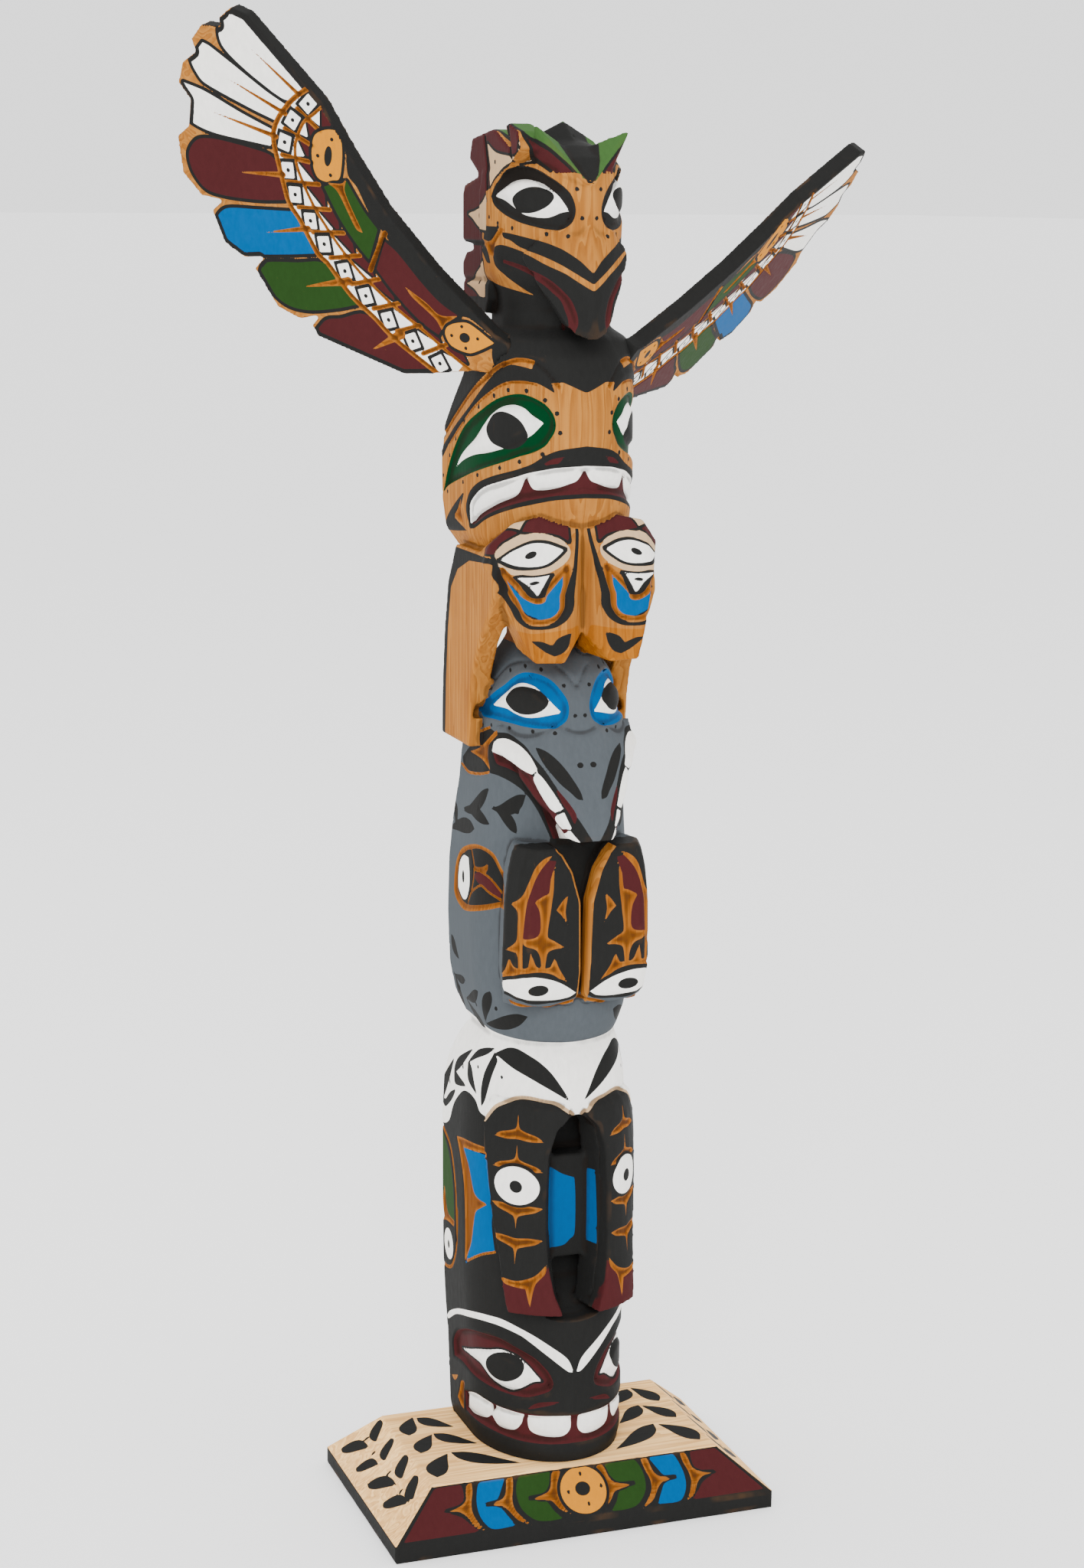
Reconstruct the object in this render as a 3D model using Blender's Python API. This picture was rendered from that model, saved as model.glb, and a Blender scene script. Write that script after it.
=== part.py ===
# Carved model totem pole: one pole, two outspread wings and a bevelled plinth.
# Metres, +Z up, front towards -Y, origin at the centre of the plinth's underside.
import math

import bpy
import bmesh
from mathutils import Vector

for old in list(bpy.data.objects):
    bpy.data.objects.remove(old, do_unlink=True)

MM = 0.001

# Plinth (mm)
PLINTH_WIDTH = 146.2
PLINTH_DEPTH = 92.3
PLINTH_HEIGHT = 21.9
RIM_HEIGHT = 6.3
SIDE_BEVEL = 18.0
FRONT_BEVEL = 13.4
RIM_ROUNDING = 0.5

# Fits (mm)
SEAT_GAP = 0.3
SLOT_GAP = 0.3

# Pole (mm)
POLE_FOOT = PLINTH_HEIGHT + SEAT_GAP
POLE_TOP = 497.0
RING_STEP = 9.0
SIDE_END = 140.0

# Carving depths (mm)
SOCKET_DEPTH = 1.5
EYEBALL_SINK = 0.4
MOUTH_DEPTH = 1.6

# Chest recess between the arms of the fourth figure (mm)
RECESS_HALF = 9.8
PANEL_FACE = -22.0
PANEL_TOP = 137.5
PANEL_FOOT = 98.6
RECESS_BACK = -13.0
ARCH_TOP = 155.6

# Wings (mm)
WING_THICK = 6.0

# Height, half width, front, back, start of the straight sides and
# sharpness of the front, level by level up the pole (mm).
LEVELS = [
    (POLE_FOOT, 27.5, -29.5, 31.0, 6.0, 1.0),
    (26.0, 28.3, -31.0, 32.0, 6.0, 1.0),
    (40.0, 28.6, -31.5, 32.5, 6.0, 1.0),
    (54.0, 28.8, -31.0, 33.5, 7.0, 1.0),
    (66.0, 29.4, -30.0, 34.5, 8.0, 1.0),
    (84.0, 30.0, -30.0, 35.5, 10.0, 1.0),
    (112.0, 30.2, -30.0, 35.5, 12.0, 1.0),
    (140.0, 30.2, -30.5, 35.5, 12.0, 1.0),
    (154.0, 29.8, -31.0, 35.0, 10.0, 1.0),
    (164.0, 28.6, -30.5, 32.5, 7.0, 1.0),
    (172.0, 26.6, -28.5, 28.0, 4.0, 1.0),
    (177.0, 24.8, -26.0, 24.5, 1.0, 1.0),
    (180.0, 23.4, -23.8, 21.5, 0.0, 1.0),
    (183.0, 24.8, -25.5, 24.5, 0.0, 1.0),
    (190.0, 27.4, -28.6, 28.5, 1.0, 1.0),
    (200.0, 28.8, -30.0, 31.0, 3.0, 1.0),
    (220.0, 29.2, -30.0, 32.0, 5.0, 1.0),
    (240.0, 28.8, -29.0, 31.5, 5.0, 1.0),
    (256.0, 27.6, -28.0, 30.0, 4.0, 1.0),
    (270.0, 26.2, -28.5, 27.5, 2.0, 1.0),
    (284.0, 25.4, -30.5, 26.0, 0.0, 1.0),
    (296.0, 24.6, -31.5, 24.0, -2.0, 1.0),
    (306.0, 22.6, -29.5, 20.0, -3.0, 1.0),
    (314.0, 19.0, -25.5, 16.5, -3.0, 1.0),
    (320.0, 15.0, -19.5, 14.5, -2.0, 1.0),
    (324.0, 12.5, -13.5, 14.0, 0.0, 1.0),
    (344.0, 12.5, -13.0, 14.0, 0.0, 1.0),
    (350.0, 20.0, -17.0, 22.0, 2.0, 1.0),
    (354.0, 25.0, -22.0, 29.0, 6.0, 1.0),
    (361.0, 29.0, -28.0, 34.0, 10.0, 1.0),
    (371.0, 30.0, -32.0, 35.5, 12.0, 1.0),
    (384.0, 30.2, -34.0, 35.5, 12.0, 1.0),
    (398.0, 29.8, -35.0, 33.0, 10.0, 1.0),
    (406.0, 29.2, -35.0, 26.0, 8.0, 1.0),
    (415.0, 28.2, -34.0, 18.0, 4.0, 1.0),
    (424.0, 27.0, -31.5, 12.0, 0.0, 1.0),
    (430.0, 25.0, -27.0, 10.0, -2.0, 1.0),
    (433.5, 19.6, -20.0, 11.5, -1.0, 1.0),
    (440.0, 18.6, -19.5, 12.0, 0.0, 1.0),
    (446.0, 19.5, -23.0, 12.5, 1.0, 1.03),
    (452.0, 22.4, -33.0, 13.0, 3.0, 1.1),
    (458.0, 23.0, -35.5, 13.0, 4.0, 1.12),
    (470.0, 23.2, -36.0, 13.0, 4.0, 1.1),
    (480.0, 23.2, -36.0, 13.0, 4.0, 1.08),
    (486.0, 22.6, -34.5, 13.0, 3.0, 1.05),
    (491.0, 20.0, -30.0, 12.0, 1.0, 1.0),
    (495.0, 13.0, -23.0, 9.0, -2.0, 1.0),
    (POLE_TOP, 7.0, -17.0, 4.0, -3.0, 1.0),
]

# Wing outline in its own plane (mm): u runs outwards, v runs up the board.
WING_OUTLINE = [
    (-19.5, -9.0), (-19.5, 2.5), (-13.0, 4.5), (12.0, 21.0), (33.0, 38.0),
    (49.0, 56.0), (60.0, 70.0), (91.0, 93.5), (97.0, 94.5), (101.5, 90.0),
    (100.5, 87.0), (108.5, 86.0), (112.5, 80.0), (110.5, 76.0), (116.0, 71.0),
    (117.5, 63.5), (112.5, 58.5), (113.0, 48.5), (117.5, 44.0), (115.0, 31.0),
    (107.0, 24.5), (98.0, 25.0), (102.5, 20.0), (97.0, 9.5), (88.5, 6.0),
    (80.0, 8.5), (84.0, 3.0), (74.0, -9.0), (64.5, -11.0), (56.0, -7.0),
    (59.5, -12.0), (57.0, -15.5), (21.0, -20.0), (8.0, -16.0), (-6.0, -11.0),
]
WING_ROOT = [
    (-19.5, -9.0), (-19.5, 2.5), (-13.0, 4.5), (12.0, 21.0), (16.0, 2.0),
    (8.0, -16.0), (-6.0, -11.0),
]
# Each wing's own pose: place of the outline's origin (mm), then the
# directions of u and v.
WING_POSES = {
    "wing_left": ((-33.0, -1.0, 431.0), (-0.696, 0.687, 0.233), (-0.053, -0.369, 0.933)),
    "wing_right": ((33.0, -1.0, 425.0), (0.605, 0.796, -0.045), (0.494, -0.325, 0.807)),
}

# Shell carving: rows of height, outer angle, inner angle, inner offset and
# outer offset; angles run round the section from the front centre.
ARM_ROWS = [
    (81.5, 40.0, 10.0, -10.0, 7.5), (90.0, 43.0, 15.0, -10.0, 6.6),
    (100.0, 46.0, 18.0, -10.0, 5.6), (112.0, 50.0, 19.3, -10.0, 5.0),
    (125.0, 54.0, 19.5, -10.0, 4.6), (140.0, 58.0, 18.5, -10.0, 4.0),
    (150.0, 60.5, 14.0, -10.0, 3.2), (155.0, 61.0, 6.0, -10.0, 2.4),
    (159.5, 60.0, 5.0, -10.0, 1.0),
]
HEAD_SOCKET = [
    (467.8, 40.0, 28.0), (469.0, 50.0, 21.0), (472.0, 68.0, 15.5),
    (476.0, 82.0, 15.0), (480.0, 81.0, 21.0), (484.0, 75.0, 37.0),
    (487.2, 61.0, 50.0),
]
HEAD_BALL = [
    (471.0, 46.0, 30.0), (474.0, 66.0, 22.0), (477.5, 76.0, 28.0),
    (481.0, 70.0, 38.0), (483.5, 58.0, 46.0),
]
SECOND_SOCKET = [
    (374.5, 132.0, 118.0), (380.0, 126.0, 94.0), (385.0, 119.0, 68.0),
    (390.5, 110.0, 42.0), (396.0, 100.0, 23.0), (402.0, 84.0, 21.0),
    (408.0, 65.0, 31.0), (411.0, 54.0, 42.0),
]
SECOND_BALL = [
    (389.5, 84.0, 66.0), (393.0, 86.0, 48.0), (397.0, 78.0, 36.0),
    (401.5, 70.0, 32.0), (405.5, 58.0, 42.0),
]
THIRD_SOCKET = [
    (295.2, 106.0, 34.0), (297.5, 108.0, 19.0), (301.0, 100.0, 10.0),
    (306.0, 86.0, 11.0), (311.0, 69.0, 27.0), (314.2, 55.0, 44.0),
]
THIRD_BALL = [
    (298.0, 68.0, 34.0), (300.5, 82.0, 23.0), (304.0, 74.0, 28.0),
    (308.0, 62.0, 40.0),
]
FIFTH_SOCKET = [
    (46.8, 92.0, 34.0), (49.0, 108.0, 22.0), (54.0, 118.0, 16.0),
    (60.0, 106.0, 23.0), (65.0, 80.0, 36.0), (68.0, 64.0, 50.0),
]
FIFTH_BALL = [
    (49.5, 58.0, 36.0), (53.0, 74.0, 27.0), (57.5, 82.0, 32.0),
    (61.5, 70.0, 44.0),
]
SECOND_MOUTH_TOP = [(0.0, 388.5), (25.0, 386.5), (45.0, 381.5), (64.0, 375.0), (80.0, 369.0)]
SECOND_MOUTH_FOOT = [(0.0, 380.0), (25.0, 377.0), (45.0, 371.5), (64.0, 366.0), (80.0, 364.0)]
FIFTH_MOUTH_TOP = [(0.0, 40.3), (30.0, 39.0), (55.0, 38.0), (80.0, 37.0), (100.0, 38.0)]
FIFTH_MOUTH_FOOT = [(0.0, 30.0), (30.0, 29.5), (55.0, 28.5), (80.0, 28.0), (100.0, 31.0)]


def blend(z, column):
    """Value of one column of the level table at height z."""
    rows = LEVELS
    if z <= rows[0][0]:
        return rows[0][column]
    for low, high in zip(rows, rows[1:]):
        if z <= high[0]:
            share = (z - low[0]) / (high[0] - low[0])
            return low[column] + share * (high[column] - low[column])
    return rows[-1][column]


def section_point(angle, z, offset=0.0):
    """Point of the pole's section at height z, moved outwards by offset."""
    half, front, back, start, sharp = [blend(z, k) for k in range(1, 6)]
    side = -1.0 if angle < 0 else 1.0
    turn = abs(angle)
    if turn <= 90.0:
        s = math.sin(math.radians(turn))
        c = math.cos(math.radians(turn))
        x = half * s ** sharp
        y = start - (start - front) * c ** sharp
        nx, ny = (start - front) * s, -half * c
        size = math.hypot(nx, ny)
        nx, ny = nx / size, ny / size
    elif turn <= SIDE_END:
        x = half
        y = start + (back - start) * (turn - 90.0) / (SIDE_END - 90.0)
        nx, ny = 1.0, 0.0
    else:
        x = half * (180.0 - turn) / (180.0 - SIDE_END)
        y = back
        nx, ny = 0.0, 1.0
    return (side * (x + offset * nx), y + offset * ny, z)


def material(name, colour, roughness):
    mat = bpy.data.materials.new(name)
    mat.use_nodes = True
    shader = mat.node_tree.nodes["Principled BSDF"]
    shader.inputs["Base Color"].default_value = (*colour, 1.0)
    shader.inputs["Roughness"].default_value = roughness
    return mat


def new_object(name, bm):
    bmesh.ops.recalc_face_normals(bm, faces=bm.faces)
    mesh = bpy.data.meshes.new(name)
    bm.to_mesh(mesh)
    bm.free()
    obj = bpy.data.objects.new(name, mesh)
    bpy.context.scene.collection.objects.link(obj)
    return obj


def loft(name, rings):
    """Closed solid through rings of equal point count, in millimetres."""
    bm = bmesh.new()
    rows = [[bm.verts.new(Vector(p) * MM) for p in ring] for ring in rings]
    count = len(rows[0])
    for low, high in zip(rows, rows[1:]):
        for i in range(count):
            j = (i + 1) % count
            bm.faces.new((low[i], low[j], high[j], high[i]))
    bm.faces.new(list(reversed(rows[0])))
    bm.faces.new(rows[-1])
    return new_object(name, bm)


def hull(name, points, side=1.0):
    """Convex block round the given points, mirrored in X when side is -1."""
    bm = bmesh.new()
    for x, y, z in points:
        bm.verts.new(Vector((side * x, y, z)) * MM)
    bmesh.ops.convex_hull(bm, input=bm.verts)
    loose = [v for v in bm.verts if not v.link_faces]
    bmesh.ops.delete(bm, geom=loose, context="VERTS")
    return new_object(name, bm)


def slab(name, x_from, x_to, outline):
    """Flat block: a (y, z) outline carried from x_from to x_to."""
    return loft(name, [[(x, y, z) for y, z in outline] for x in (x_from, x_to)])


def shell(name, rows, side, steps=5):
    """Block that follows the pole's skin through rows of
    (height, outer angle, inner angle, inner offset, outer offset)."""
    rings = []
    for z, outer_angle, inner_angle, inner, outer in rows:
        turns = [outer_angle + (inner_angle - outer_angle) * i / steps for i in range(steps + 1)]
        ring = [section_point(side * t, z, outer) for t in turns]
        ring += [section_point(side * t, z, inner) for t in reversed(turns)]
        rings.append(ring)
    return loft(name, rings)


def band(name, top, foot, inner, outer):
    """Block along a mouth, symmetric about the front, between two edge lines
    given as (angle, height) from the front centre outwards."""
    tops = [(-a, z) for a, z in reversed(top)] + top[1:]
    feet = [(-a, z) for a, z in reversed(foot)] + foot[1:]
    rings = []
    for (a, z_top), (b, z_foot) in zip(tops, feet):
        rings.append([
            section_point(b, z_foot, inner),
            section_point(b, z_foot, outer),
            section_point(a, z_top, outer),
            section_point(a, z_top, inner),
        ])
    return loft(name, rings)


def combine(target, tools, operation):
    """Boolean all the tools into the target in one exact step and drop them."""
    joined = bmesh.new()
    for tool in tools:
        joined.from_mesh(tool.data)
        bpy.data.objects.remove(tool, do_unlink=True)
    cutter = new_object("cutter", joined)
    step = target.modifiers.new("carve", "BOOLEAN")
    step.operation = operation
    step.solver = "EXACT"
    step.use_self = len(tools) > 1
    step.object = cutter
    graph = bpy.context.evaluated_depsgraph_get()
    mesh = bpy.data.meshes.new_from_object(target.evaluated_get(graph))
    target.modifiers.clear()
    target.data = mesh
    bpy.data.objects.remove(cutter, do_unlink=True)


def tidy(obj, distance):
    """Merge doubled points, drop slivers and leave triangles."""
    bm = bmesh.new()
    bm.from_mesh(obj.data)
    bmesh.ops.remove_doubles(bm, verts=bm.verts, dist=distance)
    bmesh.ops.dissolve_degenerate(bm, edges=bm.edges, dist=distance)
    bmesh.ops.triangulate(bm, faces=bm.faces)
    bmesh.ops.recalc_face_normals(bm, faces=bm.faces)
    bm.to_mesh(obj.data)
    bm.free()


# Plinth

def rectangle(inset_x, inset_y, z):
    x = PLINTH_WIDTH / 2 - inset_x
    y = PLINTH_DEPTH / 2 - inset_y
    return [(-x, -y, z), (x, -y, z), (x, y, z), (-x, y, z)]


base = loft("base", [
    rectangle(0.0, 0.0, 0.0),
    rectangle(0.0, 0.0, RIM_HEIGHT),
    rectangle(SIDE_BEVEL, FRONT_BEVEL, PLINTH_HEIGHT),
])
soften = base.modifiers.new("soft edges", "BEVEL")
soften.width = RIM_ROUNDING * MM
soften.segments = 2
soften.limit_method = "ANGLE"
soften.angle_limit = math.radians(30.0)
base.data.materials.append(material("base", (0.62, 0.42, 0.24), 0.5))

# Pole: lofted trunk

front_angles = [-90.0 + RING_STEP * i for i in range(int(180 / RING_STEP) + 1)]
back_angles = [107.0, 124.0, 134.0, 146.0, 163.0, 180.0, -163.0, -146.0, -134.0, -124.0, -107.0]
ring_angles = front_angles + back_angles
pole = loft("pole", [[section_point(a, row[0]) for a in ring_angles] for row in LEVELS])

# Fourth figure: recess in the chest, then the arms over its sides

recess = [slab("panel recess", -RECESS_HALF, RECESS_HALF, [
    (-60.0, PANEL_FOOT - 1.0), (PANEL_FACE, PANEL_FOOT - 1.0),
    (PANEL_FACE, PANEL_TOP + 1.0), (-60.0, PANEL_TOP + 1.0),
])]
arch_half = RECESS_HALF - 0.1
arch = [(-arch_half, PANEL_TOP), (arch_half, PANEL_TOP), (arch_half, 141.0)]
arch += [(8.4, 146.5), (5.4, 151.5), (2.6, 154.4), (0.0, ARCH_TOP)]
arch += [(-2.6, 154.4), (-5.4, 151.5), (-8.4, 146.5), (-arch_half, 141.0)]
recess.append(loft("arch recess", [
    [(x, -61.0, z) for x, z in arch], [(x, RECESS_BACK, z) for x, z in arch],
]))
lower_half = RECESS_HALF + 0.1
recess.append(slab("lower recess", -lower_half, lower_half, [
    (-62.0, 74.0), (-31.5, 74.0), (-22.0, 79.5), (RECESS_BACK, 88.0),
    (RECESS_BACK, PANEL_FOOT), (-62.0, PANEL_FOOT),
]))
combine(pole, recess, "DIFFERENCE")

PAW_ROWS = [
    (196.5, 25.0, 1.6, -31.5), (201.0, 26.5, 0.9, -35.5), (210.0, 27.5, 0.8, -37.5),
    (235.0, 26.8, 1.4, -38.5), (246.0, 25.6, 4.5, -38.5), (252.0, 24.2, 8.0, -38.2),
    (255.0, 22.8, 10.9, -38.0),
]
HAND_POINTS = [
    (5.0, -29.0, 372.0), (24.0, -27.0, 368.0), (31.0, -22.0, 360.0), (31.0, -15.0, 352.0),
    (4.6, -37.0, 352.0), (25.0, -35.5, 350.0), (20.5, -38.5, 329.0), (6.5, -38.5, 325.0),
    (19.0, -37.0, 320.5), (8.5, -37.0, 320.0), (0.2, -30.5, 368.0), (0.2, -31.5, 330.0),
    (4.0, -8.0, 368.0), (28.0, -6.0, 357.0), (17.0, -12.0, 322.0), (5.0, -12.0, 321.0),
    (25.0, -8.0, 342.0),
]
SNOUT_POINTS = [
    (9.0, -31.0, 297.0), (4.5, -46.5, 267.0), (5.0, -48.0, 259.0), (10.0, -43.5, 258.5),
    (10.5, -41.0, 270.0), (20.0, -30.0, 281.0), (26.0, -16.0, 289.0), (25.0, -12.0, 296.0),
    (8.0, -20.0, 263.0), (6.0, -10.0, 290.0),
]
SIDE_SLAB = [
    (3.0, 285.0), (2.0, 300.0), (-1.0, 311.0), (-9.0, 324.0), (-20.0, 335.0), (-25.0, 343.0),
    (-22.0, 356.0), (18.0, 356.0), (27.0, 342.0), (31.0, 325.0), (33.5, 305.0), (34.5, 285.0),
]
SLAB_OUTER = 30.2
SLAB_INNER = 22.8
FEATHERS = [
    (0.0, -38.0, 481.5), (4.5, -22.0, 495.0), (14.0, -22.0, 489.0), (8.0, -32.0, 484.5),
    (4.0, -20.0, 484.0), (12.0, -13.0, 489.0),
]
FEATHER_TIPS = {-1.0: (18.5, -31.0, 502.0), 1.0: (18.5, -24.5, 500.5)}

blocks = []
for side in (-1.0, 1.0):
    blocks.append(shell("arm", ARM_ROWS, side))
    rings = []
    for z, outer, inner, front in PAW_ROWS:
        outline = [
            (outer, front + 10.0), (outer - 2.5, front + 3.0), (outer - 6.0, front),
            (inner + 1.2, front), (inner, front + 2.2), (inner, -17.0), (outer - 3.0, -14.0),
        ]
        rings.append([(side * x, y, z) for x, y in outline])
    blocks.append(loft("paw", rings))
    blocks.append(hull("hand", HAND_POINTS, side))
    blocks.append(slab("side slab", side * SLAB_INNER, side * SLAB_OUTER, SIDE_SLAB))

both_cheeks = [(s * x, y, z) for s in (-1.0, 1.0) for x, y, z in SNOUT_POINTS]
blocks.append(hull("snout", both_cheeks))

# Top figure: beak, crest, crown and the two ear feathers

BEAK_POINTS = [
    (0.0, -37.0, 471.0), (0.0, -40.5, 449.0), (0.0, -42.3, 434.0), (1.5, -40.5, 431.0),
    (6.2, -37.5, 433.0), (9.5, -34.0, 443.0), (16.5, -25.5, 452.0), (19.5, -21.0, 459.0),
    (10.0, -32.5, 470.0), (5.5, -24.0, 436.0), (11.5, -18.0, 449.0),
]
blocks.append(hull("beak", [(s * x, y, z) for s in (-1.0, 1.0) for x, y, z in BEAK_POINTS]))

CREST_HALF = 22.0
CREST_TOP_LEFT = [
    (-27.0, 494.0), (-24.0, 499.5), (-14.0, 502.5), (-11.8, 501.4), (-17.5, 493.5),
    (-2.0, 499.8), (2.0, 500.7), (24.5, 497.9), (27.6, 491.0),
]
CREST_TOP_RIGHT = [(-10.0, 488.5), (-4.0, 492.0), (20.0, 493.0), (27.6, 489.5)]
CREST_BACK = [
    (16.1, 485.1), (32.8, 482.0), (34.9, 479.0), (34.9, 461.6), (12.9, 460.9), (31.0, 458.5),
    (34.9, 455.0), (33.8, 438.4), (8.5, 437.9), (5.0, 443.0), (3.0, 470.0), (-6.0, 484.0),
]
blocks.append(slab("left crest", -CREST_HALF, -13.0, CREST_TOP_LEFT + CREST_BACK))
inset_back = [(y - 0.4, 461.0 + (z - 461.0) * 0.97) for y, z in CREST_TOP_RIGHT + CREST_BACK]
blocks.append(slab("right crest", -13.6, CREST_HALF - 0.6, inset_back))
blocks.append(hull("crown", [
    (0.0, -36.5, 484.0), (0.0, -9.0, 503.5), (12.0, -8.5, 496.5), (-12.0, -8.5, 497.5),
    (11.0, -20.0, 484.0), (-11.0, -20.0, 484.0), (12.0, 6.0, 484.0), (-12.0, 6.0, 484.0),
    (0.0, 8.0, 499.5),
]))
for side, tip in FEATHER_TIPS.items():
    blocks.append(hull("ear feather", FEATHERS + [tip], side))
combine(pole, blocks, "UNION")

# Eye sockets, eyeballs and mouths

EYES = [
    (HEAD_SOCKET, HEAD_BALL), (SECOND_SOCKET, SECOND_BALL),
    (THIRD_SOCKET, THIRD_BALL), (FIFTH_SOCKET, FIFTH_BALL),
]
cuts = [
    band("mouth", SECOND_MOUTH_TOP, SECOND_MOUTH_FOOT, -MOUTH_DEPTH, 4.0),
    band("mouth", FIFTH_MOUTH_TOP, FIFTH_MOUTH_FOOT, -MOUTH_DEPTH, 4.0),
]
balls = []
for socket, ball in EYES:
    for side in (-1.0, 1.0):
        rows = [(z, a, b, -SOCKET_DEPTH, 4.0) for z, a, b in socket]
        cuts.append(shell("socket", rows, side))
        rows = [(z, a, b, -4.0, -EYEBALL_SINK) for z, a, b in ball]
        balls.append(shell("eyeball", rows, side, 4))


# Wings: flat boards in their own poses, each let into a slot in the shoulder

def wing_board(name, pose, outline, grow, thick):
    """Board of the given outline, its edges moved out by grow."""
    origin, along, up = [Vector(v) for v in pose]
    along = along.normalized()
    up = (up - up.dot(along) * along).normalized()
    normal = along.cross(up)
    count = len(outline)
    area = sum(
        outline[i][0] * outline[(i + 1) % count][1] - outline[(i + 1) % count][0] * outline[i][1]
        for i in range(count)
    )
    turn = 1.0 if area > 0 else -1.0
    flat = []
    for i in range(count):
        a, b, c = [Vector(outline[(i + k) % count]) for k in (-1, 0, 1)]
        first = (b - a).normalized()
        second = (c - b).normalized()
        n1 = Vector((first.y, -first.x)) * turn
        n2 = Vector((second.y, -second.x)) * turn
        corner = (n1 + n2).normalized()
        flat.append(b + corner * grow / max(0.4, corner.dot(n1)))
    rings = []
    for depth in (-thick / 2, thick / 2):
        rings.append([origin + along * p.x + up * p.y + normal * depth for p in flat])
    return loft(name, rings)


for name, pose in WING_POSES.items():
    cuts.append(wing_board("slot", pose, WING_ROOT, SLOT_GAP, WING_THICK + 2 * SLOT_GAP))
    wing = wing_board(name, pose, WING_OUTLINE, 0.0, WING_THICK)
    tidy(wing, 0.00001)
    wing.data.materials.append(material(name, (0.45, 0.3, 0.2), 0.45))

combine(pole, cuts, "DIFFERENCE")
combine(pole, balls, "UNION")
tidy(pole, 0.000001)
pole.data.materials.clear()
pole.data.materials.append(material("pole", (0.4, 0.28, 0.18), 0.45))
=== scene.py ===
import math

import bmesh
import bpy
import numpy as np
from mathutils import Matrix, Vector
from mathutils.kdtree import KDTree


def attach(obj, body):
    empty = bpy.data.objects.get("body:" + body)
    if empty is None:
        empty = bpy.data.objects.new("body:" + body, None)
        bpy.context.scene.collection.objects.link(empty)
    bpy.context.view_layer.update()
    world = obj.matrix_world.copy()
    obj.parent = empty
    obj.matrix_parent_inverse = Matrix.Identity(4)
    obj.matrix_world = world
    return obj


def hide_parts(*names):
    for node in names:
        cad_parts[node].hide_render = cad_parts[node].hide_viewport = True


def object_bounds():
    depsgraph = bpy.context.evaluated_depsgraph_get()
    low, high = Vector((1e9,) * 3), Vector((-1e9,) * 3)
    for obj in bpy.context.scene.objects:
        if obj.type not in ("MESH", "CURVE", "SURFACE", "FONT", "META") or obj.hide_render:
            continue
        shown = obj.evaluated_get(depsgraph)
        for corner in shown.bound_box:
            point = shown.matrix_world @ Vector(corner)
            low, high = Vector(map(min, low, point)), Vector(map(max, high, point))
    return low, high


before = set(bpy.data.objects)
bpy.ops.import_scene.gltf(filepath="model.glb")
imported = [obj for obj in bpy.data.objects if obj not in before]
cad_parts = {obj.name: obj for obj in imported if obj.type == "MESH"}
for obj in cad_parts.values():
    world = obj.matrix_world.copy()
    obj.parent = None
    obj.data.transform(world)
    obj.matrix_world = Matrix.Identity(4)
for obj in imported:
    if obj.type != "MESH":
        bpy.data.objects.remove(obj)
cad_low, cad_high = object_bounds()
MM = 0.001
SAME_PLACE = 1e-6

# Turns round the pole (degrees from its front) where its sides and its flat back begin.
SIDE_TURN, BACK_TURN, REAR_TURN = 90.0, 140.0, 180.0
# Heights (mm) between which the skin is worked out, and the steps up and round the pole.
SKIN_FOOT, SKIN_END = 22.0, 497.2
LEVEL_STEP, ARC_STEP, TURN_STEP = 0.5, 2.0, 2.0
EASING_STEPS = 9
# Voxel sizes (mm) of the dense skins, and how often each is evened.
POLE_VOXEL, POLE_ROUNDS = 0.8, 5
WING_VOXEL, WING_ROUNDS = 0.66, 3
SHRINK, SWELL = 0.5, -0.52
# How far (mm) a carved skin stays inside the CAD box, and how strongly a bulge reads as a ridge.
INSET = 0.05
RIDGE_GAIN = 22

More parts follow.
